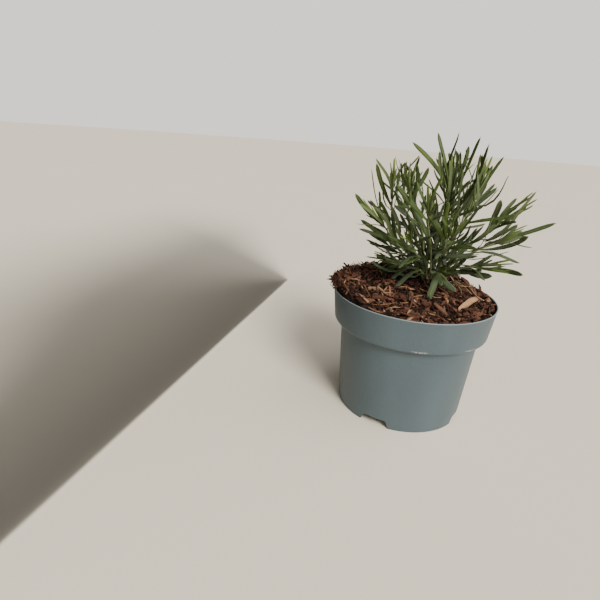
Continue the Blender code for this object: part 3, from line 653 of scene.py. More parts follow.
def crown_wood():
    """Grey-brown flaking stem wood."""
    finish = Finish("crown_wood", 0.85)
    flakes = finish.noise(500.0, 4.0, 0.6, (1.0, 1.0, 0.22))
    color = finish.mix(flakes.rise(0.3, 0.7), WOOD_DARK, WOOD_PALE)
    return finish.surface(color, None, flakes, 0.0008, 0.9)


def leaf_skin(plant):
    """Felted grey-green leaf with a paler midrib and foot and a greyer underside; each has its age."""
    finish = Finish("lavender_leaf", 0.62, Sheen_Weight=0.06, Sheen_Roughness=0.45, Specular_IOR_Level=0.30)
    across, along = finish.uv("leaf_uv")
    age = finish.attribute("leaf_age")
    under = across.rise(1.02, 1.04)
    middle = (across - under - 0.5).size()
    rib = 1.0 - middle.rise(0.02, 0.09)
    felt = finish.noise(1400.0, 3.0, 0.6)
    mottle = finish.noise(180.0, 3.0, 0.6)
    color = finish.mix(age.rise(0.0, 0.45), tuple(plant.young), tuple(plant.grown))
    color = finish.mix(age.rise(0.5, 1.0), color, tuple(plant.old))
    color = finish.mix((mottle - 0.42) * 0.9, color, tuple(Vector(plant.young) * 0.75))
    color = finish.mix((1.0 - along.rise(0.0, 0.35)) * 0.35, color, LEAF_FOOT)
    color = finish.mix(rib * 0.30, color, LEAF_RIB)
    color = finish.mix(under * 0.40, color, LEAF_UNDER)
    color = finish.mix(felt.rise(0.55, 0.8) * 0.14, color, LEAF_DOWN)
    color = finish.mix(along.rise(0.95, 1.0) * 0.3, color, LEAF_TIP)
    height = felt * 0.35 + mottle * 0.3 - rib * 0.5
    return finish.surface(color, 0.50 + felt * 0.22, height, 0.00025, 0.6)


def stem_skin():
    """Pale green square stems that turn brown and woody towards the foot."""
    finish = Finish("lavender_stem", 0.6, Sheen_Weight=0.15, Specular_IOR_Level=0.3)
    height = finish.attribute("stem_share")
    streak = finish.noise(900.0, 3.0, 0.6, (1.0, 1.0, 0.2))
    color = finish.mix(height.rise(0.05, 0.32), STEM_WOODY, STEM_GREEN)
    color = finish.mix((streak - 0.35) * 0.7, color, STEM_STREAK)
    return finish.surface(color, None, streak, 0.0003, 0.6)


def straw_skin():
    """Dry stalk."""
    finish = Finish("dry_straw", 0.75)
    streak = finish.noise(800.0, 3.0, 0.6, (0.4, 0.4, 1.0))
    color = finish.mix(streak.rise(0.3, 0.7), STRAW_DARK, STRAW_PALE)
    return finish.surface(color, None, streak, 0.0003, 0.6)


# ------------------------------------------------------------------------------------ mesh helpers

def mesh_of(work, name):
    """A mesh from a bmesh, which is freed."""
    mesh = bpy.data.meshes.new(name)
    work.to_mesh(mesh)
    work.free()
    return mesh


def object_of(data, name):
    """An object in the scene that holds a mesh, a light or a camera."""
    obj = bpy.data.objects.new(name, data)
    bpy.context.scene.collection.objects.link(obj)
    return obj


def piece_of(work, name, materials, angle=40.0):
    """A finished piece from a bmesh, riding on the one body."""
    mesh = mesh_of(work, name)
    mesh.shade_smooth()
    mesh.set_sharp_from_angle(angle=math.radians(angle))
    for material in materials:
        mesh.materials.append(material)
    obj = object_of(mesh, name)
    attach(obj, "root")
    return obj


def held(value, low=0.0, high=1.0):
    """The number kept between two limits."""
    return min(high, max(low, value))


def eased(value, low, high):
    """0 up to low, 1 from high, smooth between."""
    share = held((value - low) / (high - low))
    return share * share * (3.0 - 2.0 * share)


def in_metres(point):
    """A point in millimetres, in metres."""
    return Vector(point) * MM


def smooth_route(points, count):
    """Evenly spread points on a smooth curve through a few guide points."""
    guides = [2 * points[0] - points[1], *points, 2 * points[-1] - points[-2]]
    route = []
    spans = len(points) - 1
    for step in range(count):
        place = spans * step / (count - 1)
        span = min(int(place), spans - 1)
        t = place - span
        a, b, c, d = guides[span:span + 4]
        square = 2 * a - 5 * b + 4 * c - d
        cube = 3 * b - a - 3 * c + d
        route.append(0.5 * (2 * b + (c - a) * t + square * t * t + cube * t ** 3))
    return route


def edges_of(verts):
    """The edges that meet some vertices, each once and in the same order every time."""
    return list(dict.fromkeys(edge for vert in verts for edge in vert.link_edges))


def sweep(work, route, radii, sides, share_layer=None):
    """Extrude a ring along a route, with a radius at each point, and close both ends."""
    heading = (route[1] - route[0]).normalized()
    turn = UP.rotation_difference(heading)
    ring = bmesh.ops.create_circle(work, segments=sides, radius=radii[0], cap_ends=False)["verts"]
    shape = Matrix.Translation(route[0]) @ turn.to_matrix().to_4x4()
    bmesh.ops.transform(work, matrix=shape, verts=ring)
    edges = edges_of(ring)
    first = edges
    for number in range(1, len(route)):
        made = bmesh.ops.extrude_edge_only(work, edges=edges)["geom"]
        verts = [item for item in made if isinstance(item, bmesh.types.BMVert)]
        edges = [item for item in made if isinstance(item, bmesh.types.BMEdge)]
        ahead = route[min(number + 1, len(route) - 1)] - route[number - 1]
        step = heading.rotation_difference(ahead.normalized())
        heading = ahead.normalized()
        grow = radii[number] / radii[number - 1]
        for vert in verts:
            vert.co = route[number] + step @ (vert.co - route[number - 1]) * grow
            if share_layer is not None:
                vert[share_layer] = number / (len(route) - 1)
    for rim in (first, edges):
        bmesh.ops.edgeloop_fill(work, edges=rim)


def spun(profile, steps):
    """A solid of revolution about Z from a closed-wall profile of (radius, height)."""
    work = bmesh.new()
    verts = [work.verts.new((radius, 0.0, height)) for radius, height in profile]
    edges = [work.edges.new(pair) for pair in zip(verts, verts[1:])]
    bmesh.ops.spin(
        work, geom=verts + edges, cent=(0, 0, 0), axis=(0, 0, 1), dvec=(0, 0, 0),
        angle=math.tau, steps=steps, use_merge=True)
    bmesh.ops.remove_doubles(work, verts=work.verts, dist=MERGE)
    bmesh.ops.recalc_face_normals(work, faces=work.faces)
    return work


def arc(centre, radius, start, end, steps):
    """Points of an arc in a profile, with angles in degrees."""
    points = []
    for step in range(steps + 1):
        angle = math.radians(start + (end - start) * step / steps)
        points.append((centre[0] + radius * math.cos(angle), centre[1] + radius * math.sin(angle)))
    return points


def realised(obj, name, material):
    """The object with its modifiers applied, as a plain mesh object."""
    bpy.context.view_layer.update()
    seen = obj.evaluated_get(bpy.context.evaluated_depsgraph_get())
    mesh = bpy.data.meshes.new_from_object(seen)
    mesh.name = name
    mesh.materials.clear()
    mesh.materials.append(material)
    bpy.data.objects.remove(obj, do_unlink=True)
    made = object_of(mesh, name)
    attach(made, "root")
    return made


def cad_copy(node):
    """A bmesh of a CAD node's surface with its loose triangles merged."""
    work = bmesh.new()
    work.from_mesh(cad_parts[node].data)
    bmesh.ops.remove_doubles(work, verts=work.verts, dist=MERGE)
    return work


def tree_of(solids):
    """One search tree over several solids of points and faces."""
    points = []
    faces = []
    for solid_points, solid_faces in solids:
        start = len(points)
        points.extend(solid_points)
        faces.extend(tuple(start + i for i in face) for face in solid_faces)
    return BVHTree.FromPolygons(points, faces)


def cad_solid(node, turn=UNPLANTING):
    """A CAD node's points and faces, in the planting frame unless another turn is given."""
    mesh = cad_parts[node].data
    return [turn @ vert.co for vert in mesh.vertices], [tuple(face.vertices) for face in mesh.polygons]


# --------------------------------------------------------------------------------------------- pot

def pot_profile(pot):
    """The pot's wall and floor: up the inside, over the rounded lip, down the outside, under the floor."""
    rim = POT_HIGH.x
    top = POT_HIGH.z
    wall = pot.wall
    band_low = top - pot.band_height
    lip = wall * LIP_SHARE
    inside = [
        (0.0, POT_FLOOR + wall),
        (pot.foot_radius - wall - FLOOR_CHAMFER[0], POT_FLOOR + wall),
        (pot.foot_radius - wall - CORNER, POT_FLOOR + wall + FLOOR_CHAMFER[1]),
        (pot.body_top_radius - wall, band_low + wall - SHELF_CHAMFER[1]),
        (pot.body_top_radius - wall + SHELF_CHAMFER[0], band_low + wall),
        (pot.band_foot_radius - wall - BAND_CHAMFER[0], band_low + wall + BAND_CHAMFER[1]),
        (pot.band_foot_radius - wall, band_low + wall + BAND_CHAMFER[2]),
        (rim - wall, top - LIP_DROP),
    ]
    lip_arc = arc((rim - lip, top - lip), lip, 180.0, 0.0, 8)
    band_side = [(rim - BAND_TOP_IN, top - BAND_TOP_DROP)]
    for step in range(1, BAND_SPANS):
        share = step / BAND_SPANS
        height = top - BAND_TOP_DROP - (pot.band_height - BAND_TOP_DROP - BAND_ROUNDING) * share
        band_side.append((rim - BAND_TOP_IN + (pot.band_foot_radius - rim + BAND_TOP_IN) * share, height))
    rounding = (pot.band_foot_radius - BAND_ROUNDING, band_low + BAND_ROUNDING)
    band_foot = arc(rounding, BAND_ROUNDING, 0.0, -80.0, 7)
    corner = (pot.body_top_radius + BODY_FILLET, band_low - BODY_FILLET)
    fillet = arc(corner, BODY_FILLET, 90.0, 180.0, 4)
    body = []
    for step in range(1, BODY_SPANS):
        share = step / BODY_SPANS
        radius = pot.body_top_radius + (pot.foot_radius - pot.body_top_radius) * share
        body.append((radius, (band_low - BODY_FILLET) * (1 - share)))
    foot = [
        (pot.foot_radius, FOOT_CHAMFER),
        (pot.foot_radius - FOOT_CHAMFER, 0.0),
        (pot.foot_radius - wall * FOOT_RING, 0.0),
        (pot.foot_radius - wall * FOOT_RING, POT_FLOOR - CORNER),
        (pot.foot_radius - wall * FOOT_RING - CORNER, POT_FLOOR),
        (0.0, POT_FLOOR),
    ]
    return inside + lip_arc + band_side + band_foot + fillet + body + foot


def runs_along_x(edge):
    """Whether an edge of a unit box runs along X."""
    return abs(edge.verts[0].co.x - edge.verts[1].co.x) > 0.5


class LAVENDER_OT_pot(bpy.types.Operator):
    """Model the nursery pot with its drain notches and holes"""

    bl_idname = "lavender.pot"
    bl_label = "Nursery Pot"

    def execute(self, context):
        pot = context.scene.lavender_pot
        blank = object_of(mesh_of(spun(pot_profile(pot), POT_STEPS), "pot_blank"), "pot_blank")
        cuts = bmesh.new()
        for heading in NOTCH_HEADINGS:
            self.notch(cuts, pot, Matrix.Rotation(heading, 4, "Z"))
        for heading in DRAIN_HEADINGS:
            bmesh.ops.create_cone(
                cuts, cap_ends=True, segments=28, radius1=DRAIN_RADIUS, radius2=DRAIN_RADIUS,
                depth=DRAIN_DEPTH, matrix=Matrix.Rotation(heading, 4, "Z") @ Matrix.Translation(DRAIN_PLACE))
        cutter = object_of(mesh_of(cuts, "pot_cutter"), "pot_cutter")
        boolean = blank.modifiers.new("openings", "BOOLEAN")
        boolean.operation = "DIFFERENCE"
        boolean.solver = "EXACT"
        boolean.object = cutter
        made = realised(blank, "nursery_pot", pot_plastic(pot))
        bpy.data.objects.remove(cutter, do_unlink=True)
        made.data.shade_smooth()
        made.data.set_sharp_from_angle(angle=math.radians(38.0))
        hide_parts("pot")
        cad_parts["root_ball"].data.materials.clear()
        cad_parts["root_ball"].data.materials.append(peat())
        return {"FINISHED"}

    def notch(self, cuts, pot, turn):
        """Add the cutter of one drain notch, narrower and rounded at its top."""
        box = bmesh.ops.create_cube(cuts, size=1.0)["verts"]
        for vert in box:
            vert.co.y *= pot.notch_top if vert.co.z > 0 else 2 * pot.notch_width - pot.notch_top
        top_ends = [
            edge for edge in edges_of(box)
            if runs_along_x(edge) and all(vert.co.z > 0 for vert in edge.verts)]
        place = Matrix.Translation((pot.foot_radius - NOTCH_IN, 0.0, 0.0))
        shape = turn @ place @ Matrix.Diagonal((NOTCH_DEPTH, 1.0, 2 * pot.notch_height, 1.0))
        bmesh.ops.transform(cuts, matrix=shape, verts=box)
        bmesh.ops.bevel(
            cuts, geom=top_ends, offset=NOTCH_CORNER, offset_type="OFFSET", segments=4, profile=0.5,
            affect="EDGES", material=-1)


# ------------------------------------------------------------------------------------------- mulch

def ground_at(tree, x, y):
    """The bed's height and normal at a place."""
    hit, normal, _, _ = tree.ray_cast(Vector((x, y, BED_HIGH.z + 0.01)), -UP)
    if hit is None:
        return BED_HIGH.z - 0.006, UP
    if normal.z < 0:
        normal = -normal
    return hit.z, normal


def splinter_blank(cuts):
    """A splinter: a box cut across its length, one unit long, wide and thick."""
    work = bmesh.new()
    bmesh.ops.create_cube(work, size=1.0)
    lengthwise = [edge for edge in work.edges if runs_along_x(edge)]
    bmesh.ops.subdivide_edges(work, edges=lengthwise, cuts=cuts)
    return mesh_of(work, "splinter_blank")


class Litter:
    """A heap of splinters in one mesh."""

    def __init__(self, seed, tree):
        self.rng = random.Random(seed)
        self.tree = tree
        self.work = bmesh.new()
        self.tone = self.work.verts.layers.float.new("shred_tone")
        self.pale = self.work.verts.layers.float.new("shred_pale")
        self.grain = self.work.verts.layers.float_vector.new("grain")
        self.blanks = {cuts: splinter_blank(cuts) for cuts in (1, 3)}

    def splinter(self, kind, place, turn, tone, pale):
        """Add one bent, uneven splinter."""
        rng = self.rng
        length = kind.length * rng.lognormvariate(0.0, SPLINTER_SPREAD)
        length = min(length, kind.length * SPLINTER_LONGEST) * MM
        width = rng.uniform(*kind.width) * MM
        thickness = width * rng.uniform(*SPLINTER_THICKNESS)
        bow = rng.uniform(-SPLINTER_BOW, SPLINTER_BOW)
        ends = (rng.uniform(0.1, 0.8), rng.uniform(0.1, 0.9))
        twist = rng.uniform(-SPLINTER_TWIST, SPLINTER_TWIST)
        skew = rng.uniform(-SPLINTER_SKEW, SPLINTER_SKEW)
        kink = rng.uniform(-SPLINTER_KINK, SPLINTER_KINK)
        start = len(self.work.verts)
        self.work.from_mesh(self.blanks[kind.cuts])
        self.work.verts.ensure_lookup_table()
        origin = Vector((rng.uniform(0.0, 0.1), rng.uniform(0.0, 0.1), rng.uniform(0.0, 0.1)))
        for vert in self.work.verts[start:]:
            along = vert.co.x * 2
            narrow = 1.0 - (1.0 - (ends[0] if along < 0 else ends[1])) * abs(along) ** SPLINTER_TAPER
            narrow *= rng.uniform(0.80, 1.15)
            y = vert.co.y * width * narrow + skew * width * along + kink * length * abs(along)
            z = vert.co.z * thickness * narrow * rng.uniform(0.8, 1.15) - bow * length * along * along
            across = vert.co.y * width + vert.co.z * thickness
            vert[self.grain] = origin + Vector((vert.co.x * length, across, 0.0))
            point = Vector((vert.co.x * length, y, z))
            point.rotate(Quaternion((1, 0, 0), twist * along))
            vert.co = self.kept_in(place + turn @ point)
            vert[self.tone] = tone
            vert[self.pale] = pale

    def kept_in(self, point):
        """The point, moved in to the rim's inner wall where it lies lower than the rim."""
        radius = math.hypot(point.x, point.y)
        if point.z > POT_HIGH.z + WALL_CLEARANCE or radius < INNER_WALL:
            return point
        return Vector((point.x * INNER_WALL / radius, point.y * INNER_WALL / radius, point.z))

    def scatter(self, kind, count):
        """Splinters all over the bed, lying along its slopes."""
        rng = self.rng
        crown = (CROWN_LOW + CROWN_HIGH) / 2
        for _ in range(count):
            radius = MULCH_REACH * math.sqrt(rng.random())
            angle = rng.uniform(0.0, math.tau)
            x, y = radius * math.cos(angle), radius * math.sin(angle)
            if math.hypot(x - crown.x, y - crown.y) < STEM_CLEARANCE:
                continue
            height, normal = ground_at(self.tree, x, y)
            heading = rng.uniform(0.0, math.tau)
            room = MULCH_REACH + 0.0010 - radius
            if abs(math.cos(heading - angle)) * kind.length * MM * 0.55 > room:
                heading = angle + math.pi / 2 + rng.uniform(-0.3, 0.3)
            lean = Quaternion((math.cos(heading), math.sin(heading), 0), rng.gauss(0, 0.5))
            tilt = Quaternion((-math.sin(heading), math.cos(heading), 0), rng.gauss(0, kind.tilt))
            turn = UP.rotation_difference(normal) @ tilt @ lean @ Quaternion(UP, heading)
            lift = rng.random() ** 1.5 * kind.lift * MM
            tone = held(rng.gauss(kind.tone, 0.34))
            pale = rng.uniform(0.35, 1.0) if rng.random() < kind.pale else 0.0
            self.splinter(kind, Vector((x, y, height + lift)), turn, tone, pale)

    def bank(self, kind, count, overhang):
        """Splinters along the edge wherever the bed stands higher than the rim, some past the rim."""
        rng = self.rng
        rim = POT_HIGH.z
        for _ in range(count):
            angle = rng.uniform(0.0, math.tau)
            height, _ = ground_at(self.tree, BANK_EDGE * math.cos(angle), BANK_EDGE * math.sin(angle))
            rise = height - rim
            facing = eased(math.cos(angle - BANK_HEADING), *BANK_REACH)
            if rise < BANK_LEAST or rng.random() > rise / BANK_FULL * facing:
                continue
            share = rng.random()
            swell = math.sin(math.pi * (0.25 + 0.75 * share))
            bulge = overhang * min(1.0, rise / BANK_FULL) * swell * rng.random()
            radius = BANK_FOOT + bulge + 0.0022 * (1.0 - share)
            z = rim + 0.0009 + share * rise
            heading = angle + math.pi / 2 + rng.gauss(0, 0.55)
            tilt = Quaternion((-math.sin(heading), math.cos(heading), 0), rng.gauss(0, kind.tilt * 0.8))
            turn = tilt @ Quaternion(UP, heading) @ Quaternion((1, 0, 0), rng.uniform(0, math.pi))
            tone = held(rng.gauss(kind.tone, 0.22))
            place = Vector((radius * math.cos(angle), radius * math.sin(angle), z))
            self.splinter(kind, place, turn, tone, 0.0)

    def slivers(self, kind):
        """The pale slivers that lie on top."""
        for x, y, heading, length, width in SLIVERS:
            place = PLANTING @ in_metres((x, y, 0))
            height, normal = ground_at(self.tree, place.x, place.y)
            flat_turn = Quaternion(UP, math.radians(heading) + PLANTING.to_euler().z)
            shape = kind._replace(length=length, width=(width * 0.9, width * 1.1))
            top = Vector((place.x, place.y, height + SLIVER_LIFT))
            self.splinter(shape, top, UP.rotation_difference(normal) @ flat_turn, 0.9, 1.0)

    def hair(self, kind, count):
        """Fine fibres that stand up and out along the banked edge."""
        rng = self.rng
        for _ in range(count):
            angle = rng.uniform(0.0, math.tau)
            radius = POT_HIGH.x - rng.uniform(0.002, 0.012)
            x, y = radius * math.cos(angle), radius * math.sin(angle)
            height, _ = ground_at(self.tree, x, y)
            if height - POT_HIGH.z < 0.001 or math.cos(angle - BANK_HEADING) < BANK_REACH[0]:
                continue
            heading = angle + rng.gauss(0, 0.9)
            rise = -rng.uniform(0.1, 1.1)
            turn = Quaternion((-math.sin(heading), math.cos(heading), 0), rise) @ Quaternion(UP, heading)
            self.splinter(kind, Vector((x, y, height + HAIR_LIFT)), turn, rng.uniform(0.3, 0.9), 0.0)


class LAVENDER_OT_mulch(bpy.types.Operator):
    """Lay the bark mulch: a crumbly bed covered in shreds"""

    bl_idname = "lavender.mulch"
    bl_label = "Bark Mulch"

    def execute(self, context):
        mulch = context.scene.lavender_mulch
        tree = BVHTree.FromPolygons(*cad_solid("mulch_bed", Matrix.Identity(4)))
        bed = cad_copy("mulch_bed")
        top = [face for face in bed.faces if face.normal.z > 0.5]
        edges = dict.fromkeys(edge for face in top for edge in face.edges)
        bmesh.ops.subdivide_edges(bed, edges=list(edges), cuts=3, use_grid_fill=True)
        for vert in bed.verts:
            if vert.co.z > BED_LOW.z + 0.006:
                rough = noise.fractal(vert.co * 160.0, 0.8, 2.0, 4)
                vert.co.z += BED_ROUGHNESS * rough - BED_SINK
        bmesh.ops.triangulate(bed, faces=bed.faces)
        # The near-black ground is painted shade for the gaps between the shreds.
        ground = piece_of(bed, "mulch_ground", [bark(mulch, "bark_ground_painted_shade", ground=True)], angle=60.0)
        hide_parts("mulch_bed")
        surface = bark(mulch, "bark_shreds")
        for name, seed, spread, edge in (
            ("mulch_fibres", SEED, (("crumb", 1300), ("fibre", 900)), (("fibre", 900),)),
            ("mulch_shreds", SEED + 1, (("shred", 1150), ("chip", 210), ("sliver", 46)), (("shred", 700),)),
        ):
            litter = Litter(seed, tree)
            for kind, count in spread:
                litter.scatter(BARK_KINDS[kind], round(count * mulch.cover))
            for kind, count in edge:
                litter.bank(BARK_KINDS[kind], round(count * mulch.cover), mulch.overhang)
            if name == "mulch_fibres":
                litter.hair(BARK_KINDS["hair"], round(420 * mulch.cover))
            else:
                litter.slivers(BARK_KINDS["sliver"])
            shreds = piece_of(litter.work, name, [surface], angle=35.0)
        return {"FINISHED"}


def chip_nodes():
    """The names of the large chips' solids."""
    return sorted(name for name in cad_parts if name.startswith("bark_chip"))


def join_flat_faces(work):
    """Join triangles that lie in one plane."""
    bmesh.ops.dissolve_limit(work, angle_limit=math.radians(1.0), verts=work.verts, edges=work.edges)


def long_axis(work):
    """The direction between a solid's two farthest points."""
    points = [vert.co for vert in work.verts]
    first = max(points, key=lambda point: (point - points[0]).length)
    last = max(points, key=lambda point: (point - first).length)
    return (last - first).normalized()


class LAVENDER_OT_chips(bpy.types.Operator):
    """Round the edges of the largest bark chips and give them their grain and tone"""

    bl_idname = "lavender.chips"
    bl_label = "Large Chips"

    def execute(self, context):
        mulch = context.scene.lavender_mulch
        surface = bark(mulch, "bark_chips")
        for number, node in enumerate(chip_nodes()):
            work = cad_copy(node)
            grain = work.verts.layers.float_vector.new("grain")
            tone = work.verts.layers.float.new("shred_tone")
            pale = work.verts.layers.float.new("shred_pale")
            join_flat_faces(work)
            bmesh.ops.bevel(
                work, geom=list(work.edges), offset=CHIP_EDGE, offset_type="OFFSET", segments=2, profile=0.5,
                affect="EDGES", clamp_overlap=True, material=-1)
            bmesh.ops.triangulate(work, faces=work.faces)
            bmesh.ops.subdivide_edges(work, edges=work.edges, cuts=1, use_grid_fill=True)
            along = long_axis(work)
            across = along.cross(UP).normalized()
            share = TAN_CHIPS.get(node, 0.0)
            if node == WEDGE_CHIP:
                self.taper(work, along if along.dot(PLANTING @ WEDGE_HEADING) > 0 else -along, across)
            for vert in work.verts:
                v = vert.co.dot(across) + vert.co.dot(along.cross(across))
                vert[grain] = Vector((vert.co.dot(along), v, number * 0.01))
                vert[tone] = 0.55 + 0.25 * share
                vert[pale] = share
            chip = piece_of(work, node + "_split", [surface], angle=30.0)
            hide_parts(node)
        return {"FINISHED"}

    def taper(self, work, along, across):
        """Give a chip one broad, square end and one pointed end."""
        places = [vert.co.dot(along) for vert in work.verts]
        low, high = min(places), max(places)
        middle = sum((vert.co for vert in work.verts), Vector()) / len(work.verts)
        for vert in work.verts:
            share = (vert.co.dot(along) - low) / (high - low)
            offset = (vert.co - middle).dot(across)
            rounded = 1.0 - 0.55 * abs(2.0 * share - 1.0) ** 2.5
            width = WEDGE_POINT + WEDGE_SPREAD * share + 0.05 * math.sin(13.0 * share)
            vert.co += across * offset * (width / rounded - 1.0)


class LAVENDER_OT_straw(bpy.types.Operator):
    """Lay the dry stalks over the mulch"""

    bl_idname = "lavender.straw"
    bl_label = "Dry Stalk"

    def execute(self, context):
        rng = random.Random(SEED + 3)
        line = self.line(STRAW_POINTS, 26)
        radii = [STALK_RADIUS * rng.uniform(*STALK_STRAY) * (1.0 - 0.4 * number / 25) for number in range(26)]
        work = bmesh.new()
        sweep(work, line, radii, 8)
        for guides in THIN_STALKS:
            line = self.line(guides, 18)
            sweep(work, line, [THIN_STALK_RADIUS * rng.uniform(*STALK_STRAY) for _ in line], 6)
        bmesh.ops.recalc_face_normals(work, faces=work.faces)
        straw = piece_of(work, "dry_stalk_fine", [straw_skin()])
        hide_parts("dry_stalk")
        return {"FINISHED"}

    def line(self, guides, count):
        """Points along a stalk that passes through its guide points."""
        return [PLANTING @ point for point in smooth_route([in_metres(point) for point in guides], count)]


# ------------------------------------------------------------------------------------------- plant

def stem_feet():
    """Where each stem leaves the crown: upright ones from its top, the others evenly round its head."""
    leaning = []
    upright = []
    for index, shoot in enumerate(SHOOTS):
        away = in_metres(shoot.guides[0]) - CROWN_PLACE
        heading = math.atan2(away.y, away.x)
        group = upright if math.hypot(away.x, away.y) < UPRIGHT_REACH else leaning
        group.append((heading, index))
    feet = {}
    for group, radius, low, step in (
        (upright, UPRIGHT_RADIUS, CROWN_HIGH.z + GAP, 0.0),
        (leaning, LEANING_RADIUS, CROWN_HIGH.z - LEANING_DROP, LEANING_STEP),
    ):
        group.sort()
        spread = math.tau / len(group)
        start = sum(heading - spread * rank for rank, (heading, _) in enumerate(group)) / len(group)
        for rank, (_, index) in enumerate(group):
            angle = start + spread * rank
            height = low + step * (rank % 2)
            feet[index] = CROWN_PLACE + Vector((radius * math.cos(angle), radius * math.sin(angle), height))
    return [feet[index] for index in range(len(SHOOTS))]


def leaning_from(heading, outward, splay):
    """A direction that leans from the heading towards the outward one by an angle."""
    return heading * math.cos(splay) + outward * math.sin(splay)


def place_on(route, share):
    """The point and the direction at a share of a route's length."""
    place = share * (len(route) - 1)
    span = min(int(place), len(route) - 2)
    t = place - span
    return route[span].lerp(route[span + 1], t), (route[span + 1] - route[span]).normalized()


def solid_width(share):
    """How wide a leaf's solid is at a share of its length."""
    foot = 0.24 + 0.76 * min(1.0, share / 0.42)
    tip = math.sqrt(max(0.0, 1.0 - max(0.0, (share - 0.62) / 0.40) ** 2))
    return foot * tip


def leaf_width(share):
    """How wide a leaf is at a share of its length: a narrow foot, nearly parallel sides, a blunt tip."""
    foot = 0.30 + 0.70 * eased(share, -0.05, 0.50)
    tip = math.sqrt(max(0.0, 1.0 - max(0.0, (share - 0.80) / 0.203) ** 2))
    return max(0.14, foot * tip)


def leaf_blank(name, lengths, widths, thickness):
    """A straight leaf, one unit long and wide: a grooved sheet with rolled margins, made solid."""
    work = bmesh.new()
    bmesh.ops.create_grid(work, x_segments=lengths, y_segments=widths, size=0.5)
    for vert in work.verts:
        share = 1.0 - (1.0 - (vert.co.x + 0.5)) ** 1.7
        across = vert.co.y * 2
        groove = 0.12 * (1.0 - abs(across) ** 0.7)
        rolled = 0.20 * abs(across) ** 3
        fade = min(1.0, 5.0 * (1.0 - share)) * min(1.0, 3.0 * share + 0.3)
        vert.co = Vector((share, vert.co.y * leaf_width(share), -(groove + rolled) * fade))
    sheet = list(work.faces)
    uv = work.loops.layers.uv.new("leaf_uv")
    bmesh.ops.recalc_face_normals(work, faces=sheet)
    if sum(face.normal.z for face in sheet) < 0:
        bmesh.ops.reverse_faces(work, faces=sheet)
    bmesh.ops.solidify(work, geom=sheet, thickness=thickness)
    bmesh.ops.recalc_face_normals(work, faces=work.faces)
    for face in work.faces:
        under = UNDERSIDE if face.normal.z < -0.2 else 0.0
        for loop in face.loops:
            across = held(loop.vert.co.y / leaf_width(held(loop.vert.co.x)) + 0.5)
            loop[uv].uv = (across + under, loop.vert.co.x)
    return mesh_of(work, name)


class Leaf:
    """Where one leaf grows and how it bends."""

    def __init__(self, root, tip, facing, width, curl, turn, age=0.0, share=0.0):
        self.root = root
        self.tip = tip
        self.width = width
        self.age = age
        self.share = share
        self.twist = 0.0
        self.hook = 0.0
        self.sway = 0.0
        self.slim = 1.0
        self.curl = curl if abs(curl) > 0.01 else 0.01
        chord = tip - root
        self.along = chord.normalized()
        level = (facing - self.along * facing.dot(self.along)).normalized()
        self.normal = Quaternion(self.along, turn) @ level
        self.side = self.normal.cross(self.along).normalized()
        self.length = chord.length * (self.curl / 2) / math.sin(self.curl / 2)

    def at(self, share):
        """The midrib's point, and the leaf's up direction, at a share of its length."""
        start = -self.curl / 2
        angle = self.curl * share + start
        reach = (math.sin(angle) - math.sin(start)) / self.curl
        drop = (math.cos(angle) - math.cos(start)) / self.curl
        centre = self.root + (self.along * reach + self.normal * drop) * self.length
        up = self.normal * math.cos(angle) + self.along * math.sin(angle)
        return centre, up

    def solid(self, extra):
        """A coarse closed solid round the leaf, for finding collisions."""
        points = []
        for share in LEAF_STATIONS:
            centre, up = self.at(share)
            half = self.width / 2 * solid_width(share) + extra
            thick = 0.0009 * (1.0 - 0.35 * share) + extra
            low = centre - up * extra
            points.extend((low + self.side * half, centre + up * thick, low - self.side * half))
        points.append(self.tip + self.along * extra)
        faces = [(2, 1, 0)]
        last = len(LEAF_STATIONS) - 1
        for ring in range(last):
            for corner in range(3):
                a = 3 * ring + corner
                b = 3 * ring + (corner + 1) % 3
                faces.extend(((a, b, b + 3), (a, b + 3, a + 3)))
        for corner in range(3):
            faces.append((3 * last + corner, 3 * last + (corner + 1) % 3, 3 * last + 3))
        return points, faces

    def add_to(self, work, blank, age_layer):
        """Bend a copy of the blank along the leaf, with a wave and a hooked tip."""
        start = len(work.verts)
        work.from_mesh(blank)
        work.verts.ensure_lookup_table()
        for vert in work.verts[start:]:
            share, across, lift = vert.co
            centre, up = self.at(share)
            side = Quaternion(up.cross(self.side), self.twist * share) @ self.side
            up = Quaternion(up.cross(self.side), self.twist * share) @ up
            wave = self.hook * (math.sin(math.tau * share) * 0.35 - eased(share, 0.62, 1.15)) * self.length
            bend = self.sway * self.length * (math.sin(math.pi * share) - 0.5 * share * share)
            centre = centre + up * wave + self.side * bend
            width = self.width * self.slim
            vert.co = PLANTING @ (centre + side * (across * width) + up * (lift * width))
            vert[age_layer] = self.age


def within_bounds(tip, paired):
    """Whether a leaf's tip stays inside the plant's outline."""
    placed = PLANTING @ tip
    if max(abs(placed.x), abs(placed.y)) > FOLIAGE_HALF or placed.z > FOLIAGE_TOP:
        return False
    away = tip - CROWN_PLACE
    return not paired or tip.z < DOME_TOP - DOME_FALL * (away.x ** 2 + away.y ** 2)


